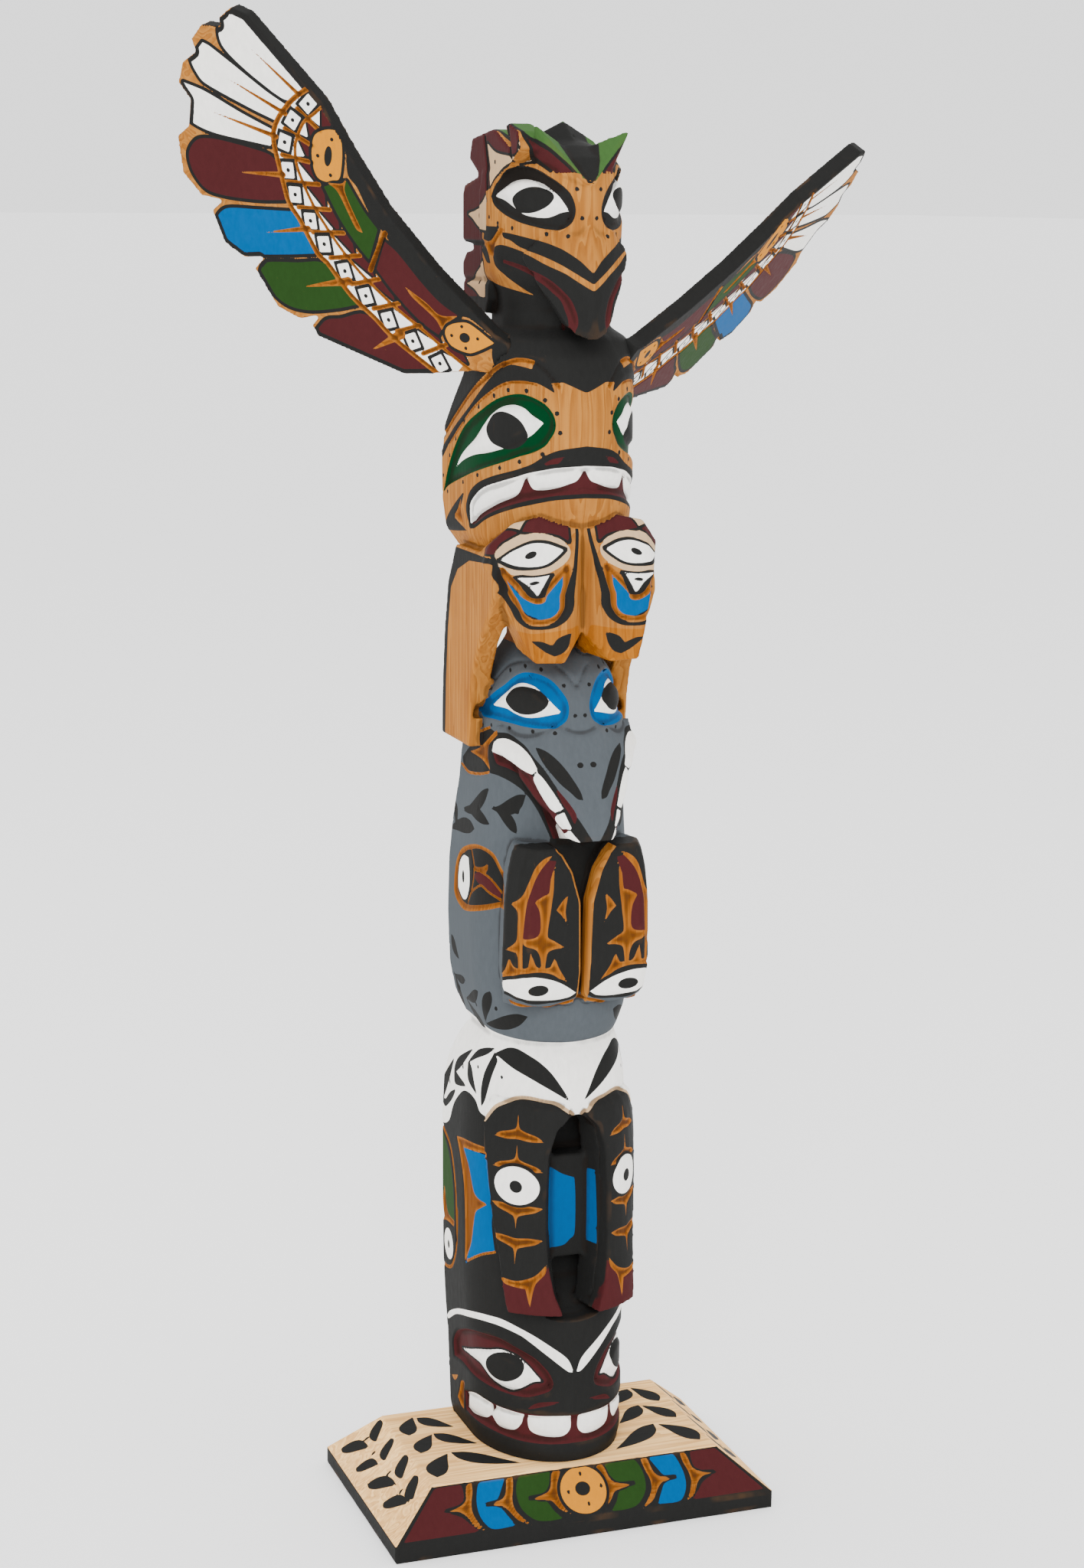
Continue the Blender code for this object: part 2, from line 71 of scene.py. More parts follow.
# Height, half width, front, back, start of the straight sides and sharpness
# of the front, level by level up the pole (mm): the skin that carries the carving.
LEVELS = np.array([
    (22.2, 27.5, -29.5, 31.0, 6.0, 1.0), (26, 28.3, -31, 32, 6, 1), (40, 28.6, -31.5, 32.5, 6, 1),
    (54, 28.8, -31, 33.5, 7, 1), (66, 29.4, -30, 34.5, 8, 1), (84, 30, -30, 35.5, 10, 1),
    (112, 30.2, -30, 35.5, 12, 1), (140, 30.2, -30.5, 35.5, 12, 1), (154, 29.8, -31, 35, 10, 1),
    (164, 28.6, -30.5, 32.5, 7, 1), (172, 26.6, -28.5, 28, 4, 1), (177, 24.8, -26, 24.5, 1, 1),
    (180, 23.4, -23.8, 21.5, 0, 1), (183, 24.8, -25.5, 24.5, 0, 1), (190, 27.4, -28.6, 28.5, 1, 1),
    (200, 28.8, -30, 31, 3, 1), (220, 29.2, -30, 32, 5, 1), (240, 28.8, -29, 31.5, 5, 1),
    (256, 27.6, -28, 30, 4, 1), (270, 26.2, -28.5, 27.5, 2, 1), (284, 25.4, -30.5, 26, 0, 1),
    (296, 24.6, -31.5, 24, -2, 1), (306, 22.6, -29.5, 20, -3, 1), (314, 19, -25.5, 16.5, -3, 1),
    (320, 15, -19.5, 14.5, -2, 1), (324, 12.5, -13.5, 14, 0, 1), (344, 12.5, -13, 14, 0, 1),
    (350, 20, -17, 22, 2, 1), (354, 25, -22, 29, 6, 1), (361, 29, -28, 34, 10, 1),
    (371, 30, -32, 35.5, 12, 1), (384, 30.2, -34, 35.5, 12, 1), (398, 29.8, -35, 33, 10, 1),
    (406, 29.2, -35, 26, 8, 1), (415, 28.2, -34, 18, 4, 1), (424, 27, -31.5, 12, 0, 1),
    (430, 25, -27, 10, -2, 1), (433.5, 19.6, -20, 11.5, -1, 1), (440, 18.6, -19.5, 12, 0, 1),
    (446, 19.5, -23, 12.5, 1, 1.03), (452, 22.4, -33, 13, 3, 1.1), (458, 23, -35.5, 13, 4, 1.12),
    (470, 23.2, -36, 13, 4, 1.1), (480, 23.2, -36, 13, 4, 1.08), (486, 22.6, -34.5, 13, 3, 1.05),
    (491, 20, -30, 12, 1, 1), (495, 13, -23, 9, -2, 1), (497, 7, -17, 4, -3, 1),
])


def smooth_levels():
    """The level table resampled every half millimetre and eased."""
    z = np.arange(SKIN_FOOT, SKIN_END, LEVEL_STEP)
    kernel = np.hanning(EASING_STEPS)
    kernel /= kernel.sum()
    columns = [np.interp(z, LEVELS[:, 0], column) for column in LEVELS[:, 1:].T]
    return z, [np.convolve(np.pad(c, EASING_STEPS // 2, mode="edge"), kernel, "valid") for c in columns]


SKIN_Z, SKIN_COLS = smooth_levels()
TURNS = np.arange(0.0, REAR_TURN + TURN_STEP / 2, TURN_STEP)


def skin_at(z):
    """Half width, front, back, start of the sides and sharpness at height z."""
    return [np.interp(z, SKIN_Z, c) for c in SKIN_COLS]


def skin_point(turn, z, offset=0.0):
    """Points of the pole's skin at angle turn (degrees) and height z, moved outwards."""
    half, front, back, start, sharp = skin_at(z)
    side = np.where(turn < 0, -1.0, 1.0)
    a = np.abs(turn)
    s = np.sin(np.radians(np.minimum(a, SIDE_TURN)))
    c = np.cos(np.radians(np.minimum(a, SIDE_TURN)))
    on_front, on_side = a <= SIDE_TURN, a <= BACK_TURN
    x = np.where(on_side, half * s ** sharp, half * (REAR_TURN - a) / (REAR_TURN - BACK_TURN))
    along_side = start + (back - start) * (a - SIDE_TURN) / (BACK_TURN - SIDE_TURN)
    y = np.where(on_front, start - (start - front) * c ** sharp, np.where(on_side, along_side, back))
    nx = np.where(on_front, (start - front) * s, np.where(on_side, 1.0, 0.0))
    ny = np.where(on_front, -half * c, np.where(on_side, 0.0, 1.0))
    n = np.hypot(nx, ny)
    return side * (x + offset * nx / n), y + offset * ny / n


def skin_turn(x, y, z):
    """The angle round the skin that each point belongs to."""
    half, front, back, start, sharp = skin_at(z)
    ax = np.abs(x)
    p = 1.0 / sharp
    forward = np.maximum((start - y) / (start - front), 0.0) ** p
    out = np.degrees(np.arctan2((ax / half) ** p, forward))
    behind = y > start
    out = np.where(behind, SIDE_TURN + (BACK_TURN - SIDE_TURN) * (y - start) / (back - start), out)
    rear = behind & ((y - back) > (ax - half))
    out = np.where(rear, REAR_TURN - (REAR_TURN - BACK_TURN) * np.minimum(ax / half, 1.0), out)
    return np.where(x < 0, -1.0, 1.0) * np.clip(out, 0.0, REAR_TURN)


def arc_table():
    """Arc length (mm) from the front centre for each turn and height."""
    z = np.arange(SKIN_FOOT, SKIN_END, ARC_STEP)
    rows = []
    for h in z:
        x, y = skin_point(TURNS, np.full(TURNS.shape, h))
        rows.append(np.concatenate([[0.0], np.cumsum(np.hypot(np.diff(x), np.diff(y)))]))
    return z, np.array(rows)


ARC_Z, ARC = arc_table()


def arc(turn, z):
    """Signed arc length (mm) of turn (degrees) at height z."""
    i = np.clip((np.asarray(z, float) - ARC_Z[0]) / ARC_STEP, 0, len(ARC_Z) - 1.001)
    j = np.clip(np.abs(turn) / TURN_STEP, 0, len(TURNS) - 1.001)
    i0, j0 = i.astype(int), j.astype(int)
    fi, fj = i - i0, j - j0
    low = ARC[i0, j0] * (1 - fj) + ARC[i0, j0 + 1] * fj
    high = ARC[i0 + 1, j0] * (1 - fj) + ARC[i0 + 1, j0 + 1] * fj
    return np.where(np.asarray(turn) < 0, -1.0, 1.0) * (low * (1 - fi) + high * fi)


def between(values, low, high):
    return (values > low) & (values < high)


def ease(value, start, end):
    """A smooth step from 0 at start to 1 at end."""
    t = np.clip((value - start) / (end - start), 0.0, 1.0)
    return t * t * (3 - 2 * t)


def add_object(name, data):
    made = bpy.data.objects.new(name, data)
    bpy.context.scene.collection.objects.link(made)
    return made


def merge_doubles(mesh):
    """Joins vertices that lie on each other."""
    bm = bmesh.new()
    bm.from_mesh(mesh)
    bmesh.ops.remove_doubles(bm, verts=bm.verts, dist=SAME_PLACE)
    bm.to_mesh(mesh)
    bm.free()


class Skin:
    """A dense copy of one CAD solid: vertex places in mm, ready to carve and paint."""

    def __init__(self, node, voxel, rounds):
        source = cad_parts[node].data.copy()
        merge_doubles(source)
        source.materials.clear()
        self.obj = add_object(node + "_carving", source)
        step = self.obj.modifiers.new("voxels", "REMESH")
        step.mode = "VOXEL"
        step.voxel_size = voxel * MM
        self.take(self.built())
        self.relax(rounds)

    def built(self):
        """The mesh that the object's modifiers make; the modifiers then go."""
        graph = bpy.context.evaluated_depsgraph_get()
        mesh = bpy.data.meshes.new_from_object(self.obj.evaluated_get(graph))
        self.obj.modifiers.clear()
        return mesh

    def take(self, mesh):
        """Makes mesh the skin's own and reads its vertices and edges."""
        self.mesh = mesh
        self.obj.data = mesh
        co = np.zeros(len(mesh.vertices) * 3)
        mesh.vertices.foreach_get("co", co)
        self.co = co.reshape(-1, 3) / MM
        edges = np.zeros(len(mesh.edges) * 2, int)
        mesh.edges.foreach_get("vertices", edges)
        self.edges = edges.reshape(-1, 2)

    def beside(self, values):
        """The mean of each column of values over the vertices joined to each vertex."""
        a, b = self.edges.T
        count = len(self.co)
        degree = np.bincount(a, minlength=count) + np.bincount(b, minlength=count)
        sums = [np.bincount(a, v[b], count) + np.bincount(b, v[a], count) for v in values.T]
        return np.stack(sums, 1) / degree[:, None]

    def relax(self, rounds):
        """Evens the surface: pairs of a shrinking and a swelling pass."""
        for _ in range(rounds):
            for rate in (SHRINK, SWELL):
                self.co = self.co + (self.beside(self.co) - self.co) * rate

    def store(self):
        self.mesh.vertices.foreach_set("co", (self.co * MM).ravel())
        self.mesh.update()

    def normals(self):
        self.store()
        out = np.zeros(len(self.co) * 3)
        self.mesh.vertex_normals.foreach_get("vector", out)
        return out.reshape(-1, 3)


def flatten_to_skin(skin):
    """Draws faceted cuts and shallow sockets back to the smooth trunk; returns turns and offsets."""
    x, y, z = skin.co.T
    turn = skin_turn(x, y, z)
    on_x, on_y = skin_point(turn, z)
    out_x, out_y = skin_point(turn, z, 1.0)
    out_x, out_y = out_x - on_x, out_y - on_y
    offset = (x - on_x) * out_x + (y - on_y) * out_y
    pull = ease(offset, -4.4, -3.2) * (1 - ease(offset, 0.8, 1.6)) * (1 - ease(z, 478.0, 486.0))
    skin.co[:, 0] -= out_x * offset * pull
    skin.co[:, 1] -= out_y * offset * pull
    return turn, offset


def curve(points, closed=True, steps=5):
    """A smooth line through points (mm) that keeps sharp ones, turns over 60 degrees, as corners."""
    p = np.array(points, float)
    before, after = np.roll(p, 1, 0), np.roll(p, -1, 0)
    if not closed:
        before[0], after[-1] = p[0], p[-1]
    a, b = p - before, after - p
    size = np.linalg.norm(a, axis=1) * np.linalg.norm(b, axis=1) + 1e-9
    corner = (a * b).sum(1) / size < 0.5
    swing = (after - before) / 2
    out = []
    for i in range(len(p) if closed else len(p) - 1):
        j = (i + 1) % len(p)
        chord = p[j] - p[i]
        reach = np.linalg.norm(chord)
        m0, m1 = (chord if corner[k] else
                  swing[k] * min(1.0, reach / (np.linalg.norm(swing[k]) + 1e-9)) for k in (i, j))
        for t in np.arange(steps) / steps:
            out.append((2 * t**3 - 3 * t**2 + 1) * p[i] + (t**3 - 2 * t**2 + t) * m0
                       + (3 * t**2 - 2 * t**3) * p[j] + (t**3 - t**2) * m1)
    if not closed:
        out.append(p[-1])
    return np.array(out)


# How far (mm) from an edge the paint fields are worked out.
REACH = 2.5


class Canvas:
    """Paint and cuts on a skin: signed distances (mm) to each colour's edge, and cut depth."""

    def __init__(self, skin, colours, ground):
        self.skin = skin
        count = len(skin.co)
        self.fields = {c: np.full(count, -REACH) for c in colours}
        self.fields[ground][:] = REACH
        self.depth = np.zeros(count)
        self.stain = np.zeros(count)
        self.view(skin.co[:, 0], skin.co[:, 2])

    def view(self, a, b, where=None, place=None):
        """The flat chart (mm) that the next shapes are drawn in, and the vertices it reaches."""
        where = np.ones(len(a), bool) if where is None else where
        self.who = np.flatnonzero(where)
        self.a, self.b = a[self.who], b[self.who]
        self.place = place

    def line(self, points):
        pts = np.array(points, float)
        return self.place(pts) if self.place else pts

    def measure(self, outline, closed, margin):
        """The vertices near an outline, their distance to it, inside-ness and place along it."""
        low, high = outline.min(0) - margin, outline.max(0) + margin
        near = np.flatnonzero(between(self.a, low[0], high[0]) & between(self.b, low[1], high[1]))
        a, b = self.a[near], self.b[near]
        best = np.full(len(near), 1e9)
        inside = np.zeros(len(near), bool)
        along = np.zeros(len(near))
        ends = np.roll(outline, -1, 0) if closed else outline[1:]
        starts = outline if closed else outline[:-1]
        total = len(starts)
        for k, (s, e) in enumerate(zip(starts, ends)):
            va, vb = e - s
            t = np.clip(((a - s[0]) * va + (b - s[1]) * vb) / (va * va + vb * vb + 1e-9), 0, 1)
            d = np.hypot(a - s[0] - t * va, b - s[1] - t * vb)
            closer = d < best
            best[closer] = d[closer]
            along[closer] = ((k + t) / total)[closer]
            if closed and vb != 0:
                crosses = (s[1] > b) != (e[1] > b)
                inside ^= crosses & (a < s[0] + va * (b - s[1]) / vb)
        return self.who[near], best, inside, along

    def paint(self, colour, who, d):
        d = np.clip(d, -REACH, REACH)
        for name, field in self.fields.items():
            field[who] = np.maximum(field[who], d) if name == colour else np.minimum(field[who], -d)

    def form(self, colour, points, edge=0.0, sink=0.0, rise=0.0, smooth=True):
        """A filled shape: a black line round it, sunk as a socket or raised as a cushion."""
        outline = self.line(points)
        if smooth:
            outline = curve(outline)
        who, near, inside, _ = self.measure(outline, True, REACH + 1.0)
        d = np.where(inside, near, -near)
        if edge:
            self.paint("black", who, d + edge)
        if colour:
            self.paint(colour, who, d)
        if colour == "cut":
            sink = sink or 0.8
            self.stain[who] = np.maximum(self.stain[who], ease(d, -0.2, 1.4))
            self.depth[who] += sink * ease(d, -0.2, 1.5)
            return
        if sink:
            self.depth[who] += sink * ease(d, -0.5, 1.5)
        if rise:
            self.depth[who] -= rise * ease(d, -0.3, 3.2)

    def groove(self, colour, points, width, sink=0.0, taper=0.0):
        """A line of that width; taper 1 draws both tips out to points, and sink cuts a V."""
        outline = curve(self.line(points), closed=False)
        who, near, _, along = self.measure(outline, False, REACH + width)
        half = width / 2 * (1 - taper * (1 - np.sin(np.pi * np.clip(along, 0.02, 0.98)) ** 0.6))
        d = half - near
        self.paint(colour, who, d)
        self.depth[who] += sink * ease(d, -0.3, width / 2)
        if colour == "cut":
            self.stain[who] = np.maximum(self.stain[who], ease(d, -0.1, width / 2))

    def wedge(self, tip, root, width, sink=0.6):
        """A cut that starts as a point and widens to its root."""
        ends = self.line([tip, root])
        who, near, _, along = self.measure(ends, False, REACH + width)
        d = width / 2 * (0.12 + 0.88 * along) - near
        self.paint("cut", who, d)
        self.depth[who] += sink * ease(d, -0.3, width / 2)
        self.stain[who] = np.maximum(self.stain[who], ease(d, 0.0, width / 2))

    def dots(self, radius, points, colour="black"):
        for centre in self.line(points):
            who, near, _, _ = self.measure(np.array([centre, centre + 0.01]), False, REACH + radius)
            self.paint(colour, who, radius - near)
            self.depth[who] += 0.2 * ease(radius - near, -0.2, 0.5)

    def oval(self, colour, centre, width, height, tilt=0.0, **how):
        """An ellipse, or the ovoid of a pupil, about a centre in chart units."""
        c = self.line([centre])[0]
        angle = np.linspace(0, 2 * np.pi, 20, endpoint=False)
        a, b = width / 2 * np.cos(angle), height / 2 * np.sin(angle)
        r = math.radians(tilt)
        ring = np.stack([c[0] + a * math.cos(r) - b * math.sin(r),
                         c[1] + a * math.sin(r) + b * math.cos(r)], 1)
        self.ring(colour, ring, **how)

    def ring(self, colour, outline, **how):
        """A form whose outline is in the chart's millimetres already."""
        held, self.place = self.place, None
        self.form(colour, outline, **how)
        self.place = held

    def leaf(self, start, end, belly, bend=0.0, colour="black"):
        """A brushed leaf from tip to tip, widest a little before its middle."""
        a, b = self.line([start, end])
        t = np.array([0, 0.18, 0.42, 0.7, 1.0])[:, None]
        across = np.array([-(b - a)[1], (b - a)[0]]) / (np.linalg.norm(b - a) + 1e-9)
        spine = a + (b - a) * t + across * bend * 4 * t * (1 - t)
        half = belly / 2 * np.array([0, 0.8, 1.0, 0.62, 0])[:, None] * across
        ring = np.concatenate([spine + half, (spine - half)[-2:0:-1]])
        self.ring(colour, ring)

    def crescent(self, centre, span, spike, arch=2.2, thick=2.0):
        """A carved crescent with a spike from its middle: up if spike is positive."""
        x, z = self.line([centre])[0]
        way = 1 if spike > 0 else -1
        h = span / 2
        ring = [(x - h, z), (x - h * 0.72, z + way * (arch * 0.55 + 0.6)), (x - h * 0.3,
                                                                            z + way * (arch + 0.9)),
                (x - 0.6, z + way * (arch + 2.2)), (x, z + spike), (x + 0.6, z + way * (arch + 2.2)),
                (x + h * 0.3, z + way * (arch + 0.9)), (x + h * 0.72, z + way * (arch * 0.55 + 0.6)),
                (x + h, z), (x + h * 0.5, z + way * (arch - thick + 0.4)), (x,
                                                                            z + way * (arch - thick + 0.9)),
                (x - h * 0.5, z + way * (arch - thick + 0.4))]
        self.ring("cut", ring, sink=0.9)

    def carve(self, soften=1):
        """Sinks the skin along its normals by the cut depth and stores what the materials read."""
        skin = self.skin
        skin.co = skin.co - skin.normals() * self.depth[:, None]
        skin.relax(soften)
        low, high = np.array(cad_low) / MM + INSET, np.array(cad_high) / MM - INSET
        skin.co = np.clip(skin.co, low, high)
        bulge = ((skin.co - skin.beside(skin.co)) * skin.normals()).sum(1)[:, None]
        for _ in range(3):
            bulge = skin.beside(bulge)
        skin.paint = dict(self.fields)
        skin.paint["ridge"] = np.clip(bulge[:, 0] * RIDGE_GAIN, -1, 1)
        skin.paint["stain"] = self.stain


def split(skin, name, count, node, material):
    """Cuts a dense skin by height into objects small enough for the library."""
    skin.store()
    faces = np.zeros(len(skin.mesh.polygons) * 4, int)
    skin.mesh.polygons.foreach_get("vertices", faces)
    faces = faces.reshape(-1, 4)
    normal = skin.normals()
    height = skin.co[faces, 2].mean(1)
    cuts = np.quantile(height, np.linspace(0, 1, count + 1))
    cuts[-1] += 1
    for k in range(count):
        own = faces[(height >= cuts[k]) & (height < cuts[k + 1])]
        used, local = np.unique(own, return_inverse=True)
        title = name if count == 1 else f"{name}_{k + 1}"
        mesh = bpy.data.meshes.new(title)
        mesh.from_pydata(skin.co[used] * MM, [], local.reshape(-1, 4))
        mesh.update()
        for key, values in skin.paint.items():
            layer = mesh.attributes.new(key, "FLOAT", "POINT")
            layer.data.foreach_set("value", values[used].astype(np.float32))
        mesh.shade_smooth()
        mesh.normals_split_custom_set_from_vertices(normal[used])
        mesh.materials.append(material)
        obj = add_object(title, mesh)
        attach(obj, "root")
        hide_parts(node)
    bpy.data.objects.remove(skin.obj)


# Paints and bare surfaces: linear colour, how far it is paint rather than wood, roughness.
PALETTE = {
    "wood": ((0.35, 0.140, 0.027), 0.0, 0.50),
    "pale": ((0.92, 0.56, 0.220), 0.0, 0.55),
    "tip": ((0.32, 0.108, 0.010), 0.0, 0.48),
    "cut": ((0.28, 0.092, 0.011), 0.0, 0.50),
    "black": ((0.0135, 0.0135, 0.0130), 1.0, 0.46),
    "white": ((0.90, 0.88, 0.83), 1.0, 0.46),
    "cream": ((0.56, 0.41, 0.25), 0.6, 0.52),
    "maroon": ((0.050, 0.0115, 0.0125), 1.0, 0.46),
    "blue": ((0.0, 0.072, 0.22), 1.0, 0.46),
    "green": ((0.015, 0.041, 0.009), 1.0, 0.48),
    "deep": ((0.0006, 0.030, 0.009), 1.0, 0.44),
    "leaf": ((0.038, 0.092, 0.024), 1.0, 0.50),
    "ochre": ((0.50, 0.185, 0.008), 1.0, 0.48),
    "grey": ((0.062, 0.071, 0.079), 1.0, 0.52),
}
STAINED_WOOD = (0.085, 0.026, 0.005)
RUBBED_WOOD = (0.34, 0.15, 0.04)
# Near-black mixed into hollows: painted shade in creases, sockets and cuts, together with grime.
GRIME_AND_HOLLOW_SHADE = (0.012, 0.008, 0.006)
# Noise scales (per metre) across and along the grain, for its fibres and for its year rings.
FIBRE_ACROSS, FIBRE_ALONG = 900.0, 22.0
RINGS_ACROSS, RINGS_ALONG = 120.0, 5.0
SPECULAR = 0.01


class S:
    """A shader socket with arithmetic, so that a material reads as a formula."""

    tree = None

    def __init__(self, socket):
        self.socket = socket

    @classmethod
    def node(cls, kind, out=0, inputs=(), **settings):
        made = cls.tree.nodes.new(kind)
        for key, value in settings.items():
            setattr(made, key, value)
        for key, value in dict(inputs).items():
            if isinstance(value, S):
                cls.tree.links.new(value.socket, made.inputs[key])
            else:
                made.inputs[key].default_value = value
        return S(made.outputs[out])

    def math(self, operation, other=0.0, clamp=False):
        return S.node("ShaderNodeMath", 0, {0: self, 1: other}, operation=operation, use_clamp=clamp)

    def __add__(self, other):
        return self.math("ADD", other)

    __radd__ = __add__

    def __mul__(self, other):
        return self.math("MULTIPLY", other)

    __rmul__ = __mul__

    def __sub__(self, other):
        return self.math("SUBTRACT", other)

    def __rsub__(self, other):
        return S.node("ShaderNodeMath", 0, {0: other, 1: self}, operation="SUBTRACT")

    def ramp(self, low, high):
        return S.node("ShaderNodeMapRange", 0, {0: self, 1: low, 2: high}, interpolation_type="SMOOTHSTEP")

    def most(self, other):
        return self.math("MAXIMUM", other)

    def unit(self):
        return self.math("ADD", 0.0, clamp=True)


def attribute(name):
    return S.node("ShaderNodeAttribute", 2, attribute_name=name)


def mix(factor, a, b):
    """Colours blended by factor."""
    full = [(*c, 1.0) if isinstance(c, tuple) and len(c) == 3 else c for c in (a, b)]
    return S.node("ShaderNodeMix", 2, {0: factor, 6: full[0], 7: full[1]}, data_type="RGBA")


def noise(where, scale, detail=3.0, rough=0.55, twist=0.0):
    return S.node("ShaderNodeTexNoise", 0, {"Vector": where, "Scale": scale, "Detail": detail,
                                            "Roughness": rough, "Distortion": twist})


def stretched(where, scale):
    return S.node("ShaderNodeVectorMath", 0, {0: where, 1: scale}, operation="MULTIPLY")


def constant(value):
    made = S.node("ShaderNodeValue")
    made.socket.default_value = value
    return made


def along_grain(where, axis, across, along):
    """Noise space stretched along the grain's axis (0 x, 1 y, 2 z)."""
    return stretched(where, [along if k == axis else across for k in range(3)])


def tinted(colour, red, green, blue):
    """A colour with its channels multiplied by those factors."""
    factors = S.node("ShaderNodeCombineColor", 0, {0: red, 1: green, 2: blue})
    return S.node("ShaderNodeMix", 2, {0: 1.0, 6: colour, 7: factors}, data_type="RGBA",
                  blend_type="MULTIPLY")


def painted_wood(name, colours, grain_axis, wear):
    """Brushed paint over carved cedar; grain runs along grain_axis (0 x, 1 y, 2 z)."""
    material = bpy.data.materials.new(name)
    material.use_nodes = True
    tree = material.node_tree
    S.tree = tree
    shader = tree.nodes["Principled BSDF"]
    here = S.node("ShaderNodeTexCoord", 3)
    fibre = noise(along_grain(here, grain_axis, FIBRE_ACROSS, FIBRE_ALONG), 1.0, 4.0, 0.6)
    swirl = noise(along_grain(here, grain_axis, RINGS_ACROSS, RINGS_ALONG), 1.0, 2.0, 0.5, 0.4)
    rings = (swirl * 9.0).math("FRACT").ramp(0.0, 1.0)
    blotch = noise(here, 45.0, 3.0)
    brush = noise(stretched(here, (700.0, 500.0, 260.0)), 1.0, 3.0)
    speck = noise(here, 2600.0, 2.0)
    ridge, stain = attribute("ridge"), attribute("stain")
    wander = (noise(here, 900.0, 2.0) - 0.5) * 0.5
    grain = fibre * 0.55 + rings * 0.3 + blotch * 0.35
    dark_wood = 0.34 + grain * 0.92
    best = attribute(colours[0])
    tone, cover, gloss = PALETTE[colours[0]]
    colour = mix(0.0, tone, tone)
    paint, rough = constant(cover), constant(gloss)
    for key in colours[1:]:
        tone, cover, gloss = PALETTE[key]
        field = attribute(key)
        factor = ((field - best + wander * 0.35) * 5.0 + 0.5).unit()
        colour = mix(factor, colour, tone)
        paint = paint + (cover - paint) * factor
        rough = rough + (gloss - rough) * factor
        best = best.most(field)
    grained = tinted(colour, dark_wood, dark_wood * dark_wood.math("POWER", 0.35),
                     dark_wood * dark_wood.math("POWER", 0.7))
    wooden = mix(stain.ramp(0.2, 1.0) * (1.0 - paint) * (0.45 + blotch * 0.35), grained, STAINED_WOOD)
    strokes = 0.82 + brush * 0.24 + blotch * 0.14
    brushed = tinted(colour, strokes, strokes, strokes)
    rubbed = (ridge.ramp(0.45, 1.0) * blotch.ramp(0.52, 0.66) * wear).unit()
    thin = (fibre.ramp(0.70, 0.80) * 0.12 + speck.ramp(0.74, 0.80) * 0.15 + rubbed).unit()
    covered = (paint * (1.0 - thin)).unit()
    finished = mix(covered, mix(paint.ramp(0.1, 0.9), wooden, RUBBED_WOOD), brushed)
    # Hollows (negative ridge) darkened towards near-black: painted shade in creases and sockets, with some
    # grime.
    dusty_and_shaded = mix((0.0 - ridge).ramp(0.15, 0.9) * 0.5, finished, GRIME_AND_HOLLOW_SHADE)
    sheen = rough + (brush - 0.5) * 0.18 + (fibre - 0.5) * 0.12
    relief = fibre * (1.0 - paint * 0.65) * 0.5 + brush * 0.35 + rings * (1.0 - paint) * 0.2 + blotch * 0.25
    bump = S.node("ShaderNodeBump", 0, {"Height": relief, "Strength": 0.35, "Distance": 0.0004})
    for key, made in (("Base Color", dusty_and_shaded), ("Roughness", sheen), ("Normal", bump)):
        tree.links.new(made.socket, shader.inputs[key])
    shader.inputs["Specular IOR Level"].default_value = SPECULAR
    return material


# The outlines below were traced from the photograph through its fitted camera, then moved.
# On the pole a point is a turn (degrees from the front) and a height (mm).
POLE_COLOURS = ["wood", "black", "white", "maroon", "blue", "green", "deep", "leaf", "grey", "cut", "tip",
                "cream"]
pole = Skin("pole", POLE_VOXEL, POLE_ROUNDS)
pole_turn, pole_off = flatten_to_skin(pole)
pole_x, pole_y, pole_z = pole.co.T.copy()
pole_normal = pole.normals()
canvas = Canvas(pole, POLE_COLOURS, "black")


# Millimetres that each degree past the middle of the back stands for.
MM_PAST_REAR = 0.6


def trunk_place(points):
    """Chart places (mm) of points given as turn from the front (degrees) and height (mm)."""
    turn, height = points.T
    past = np.maximum(np.abs(turn) - REAR_TURN, 0.0) * MM_PAST_REAR
    return np.stack([arc(np.clip(turn, -REAR_TURN, REAR_TURN), height) + past, height], 1)


both_sides = arc(np.abs(pole_turn), pole_z)
one_sided = arc(pole_turn, pole_z)
all_heights = np.ones(len(pole_z), bool)

# The second figure's side slabs stand clear of the trunk between these front and back edges.
slab_front = np.interp(pole_z, [285, 300, 311, 324, 335, 343], [0, -1, -4, -12, -20, -25])
slab_back = np.interp(pole_z, [285, 305, 325, 342, 356], [34.5, 33.5, 31, 27, 18])
slab_arch = np.interp(pole_y, [-20, 2, 15, 24, 30], [353.4, 352, 347.5, 339, 326])
SLAB_FOOT, SLAB_TOP, SLAB_PROUD = 283.5, 355.5, 0.4
slab = ((np.abs(pole_x) > skin_at(pole_z)[0] + SLAB_PROUD) & between(pole_z, SLAB_FOOT, SLAB_TOP)
        & (pole_y > slab_front))
# The fourth figure's chest recess, the hands of the second figure and the grey figure's paws (mm).
RECESS_FOOT, RECESS_TOP = 98, 140
HANDS_FOOT, HANDS_TOP, HANDS_FRONT, HANDS_PROUD = 313, 378, -14, 1.2
PAWS_FOOT, PAWS_TOP, PAWS_FRONT = 194, 258, -26.0
PAW_WALL_FOOT, PAW_WALL_TOP, PAW_WALL_FRONT, PAW_WALL_HALF = 196, 257, -31.5, 12


def on_trunk(where=all_heights, mirrored=True):
    """Draws next on the trunk's unrolled skin, on both sides alike unless mirrored is False."""
    canvas.view(both_sides if mirrored else one_sided, pole_z, where, trunk_place)


def ground(colour, low, high, where=all_heights):
    """Paints a whole belt of the pole."""
    who = np.flatnonzero(where & between(pole_z, low - REACH, high + REACH))
    canvas.paint(colour, who, np.minimum(pole_z[who] - low, high - pole_z[who]))


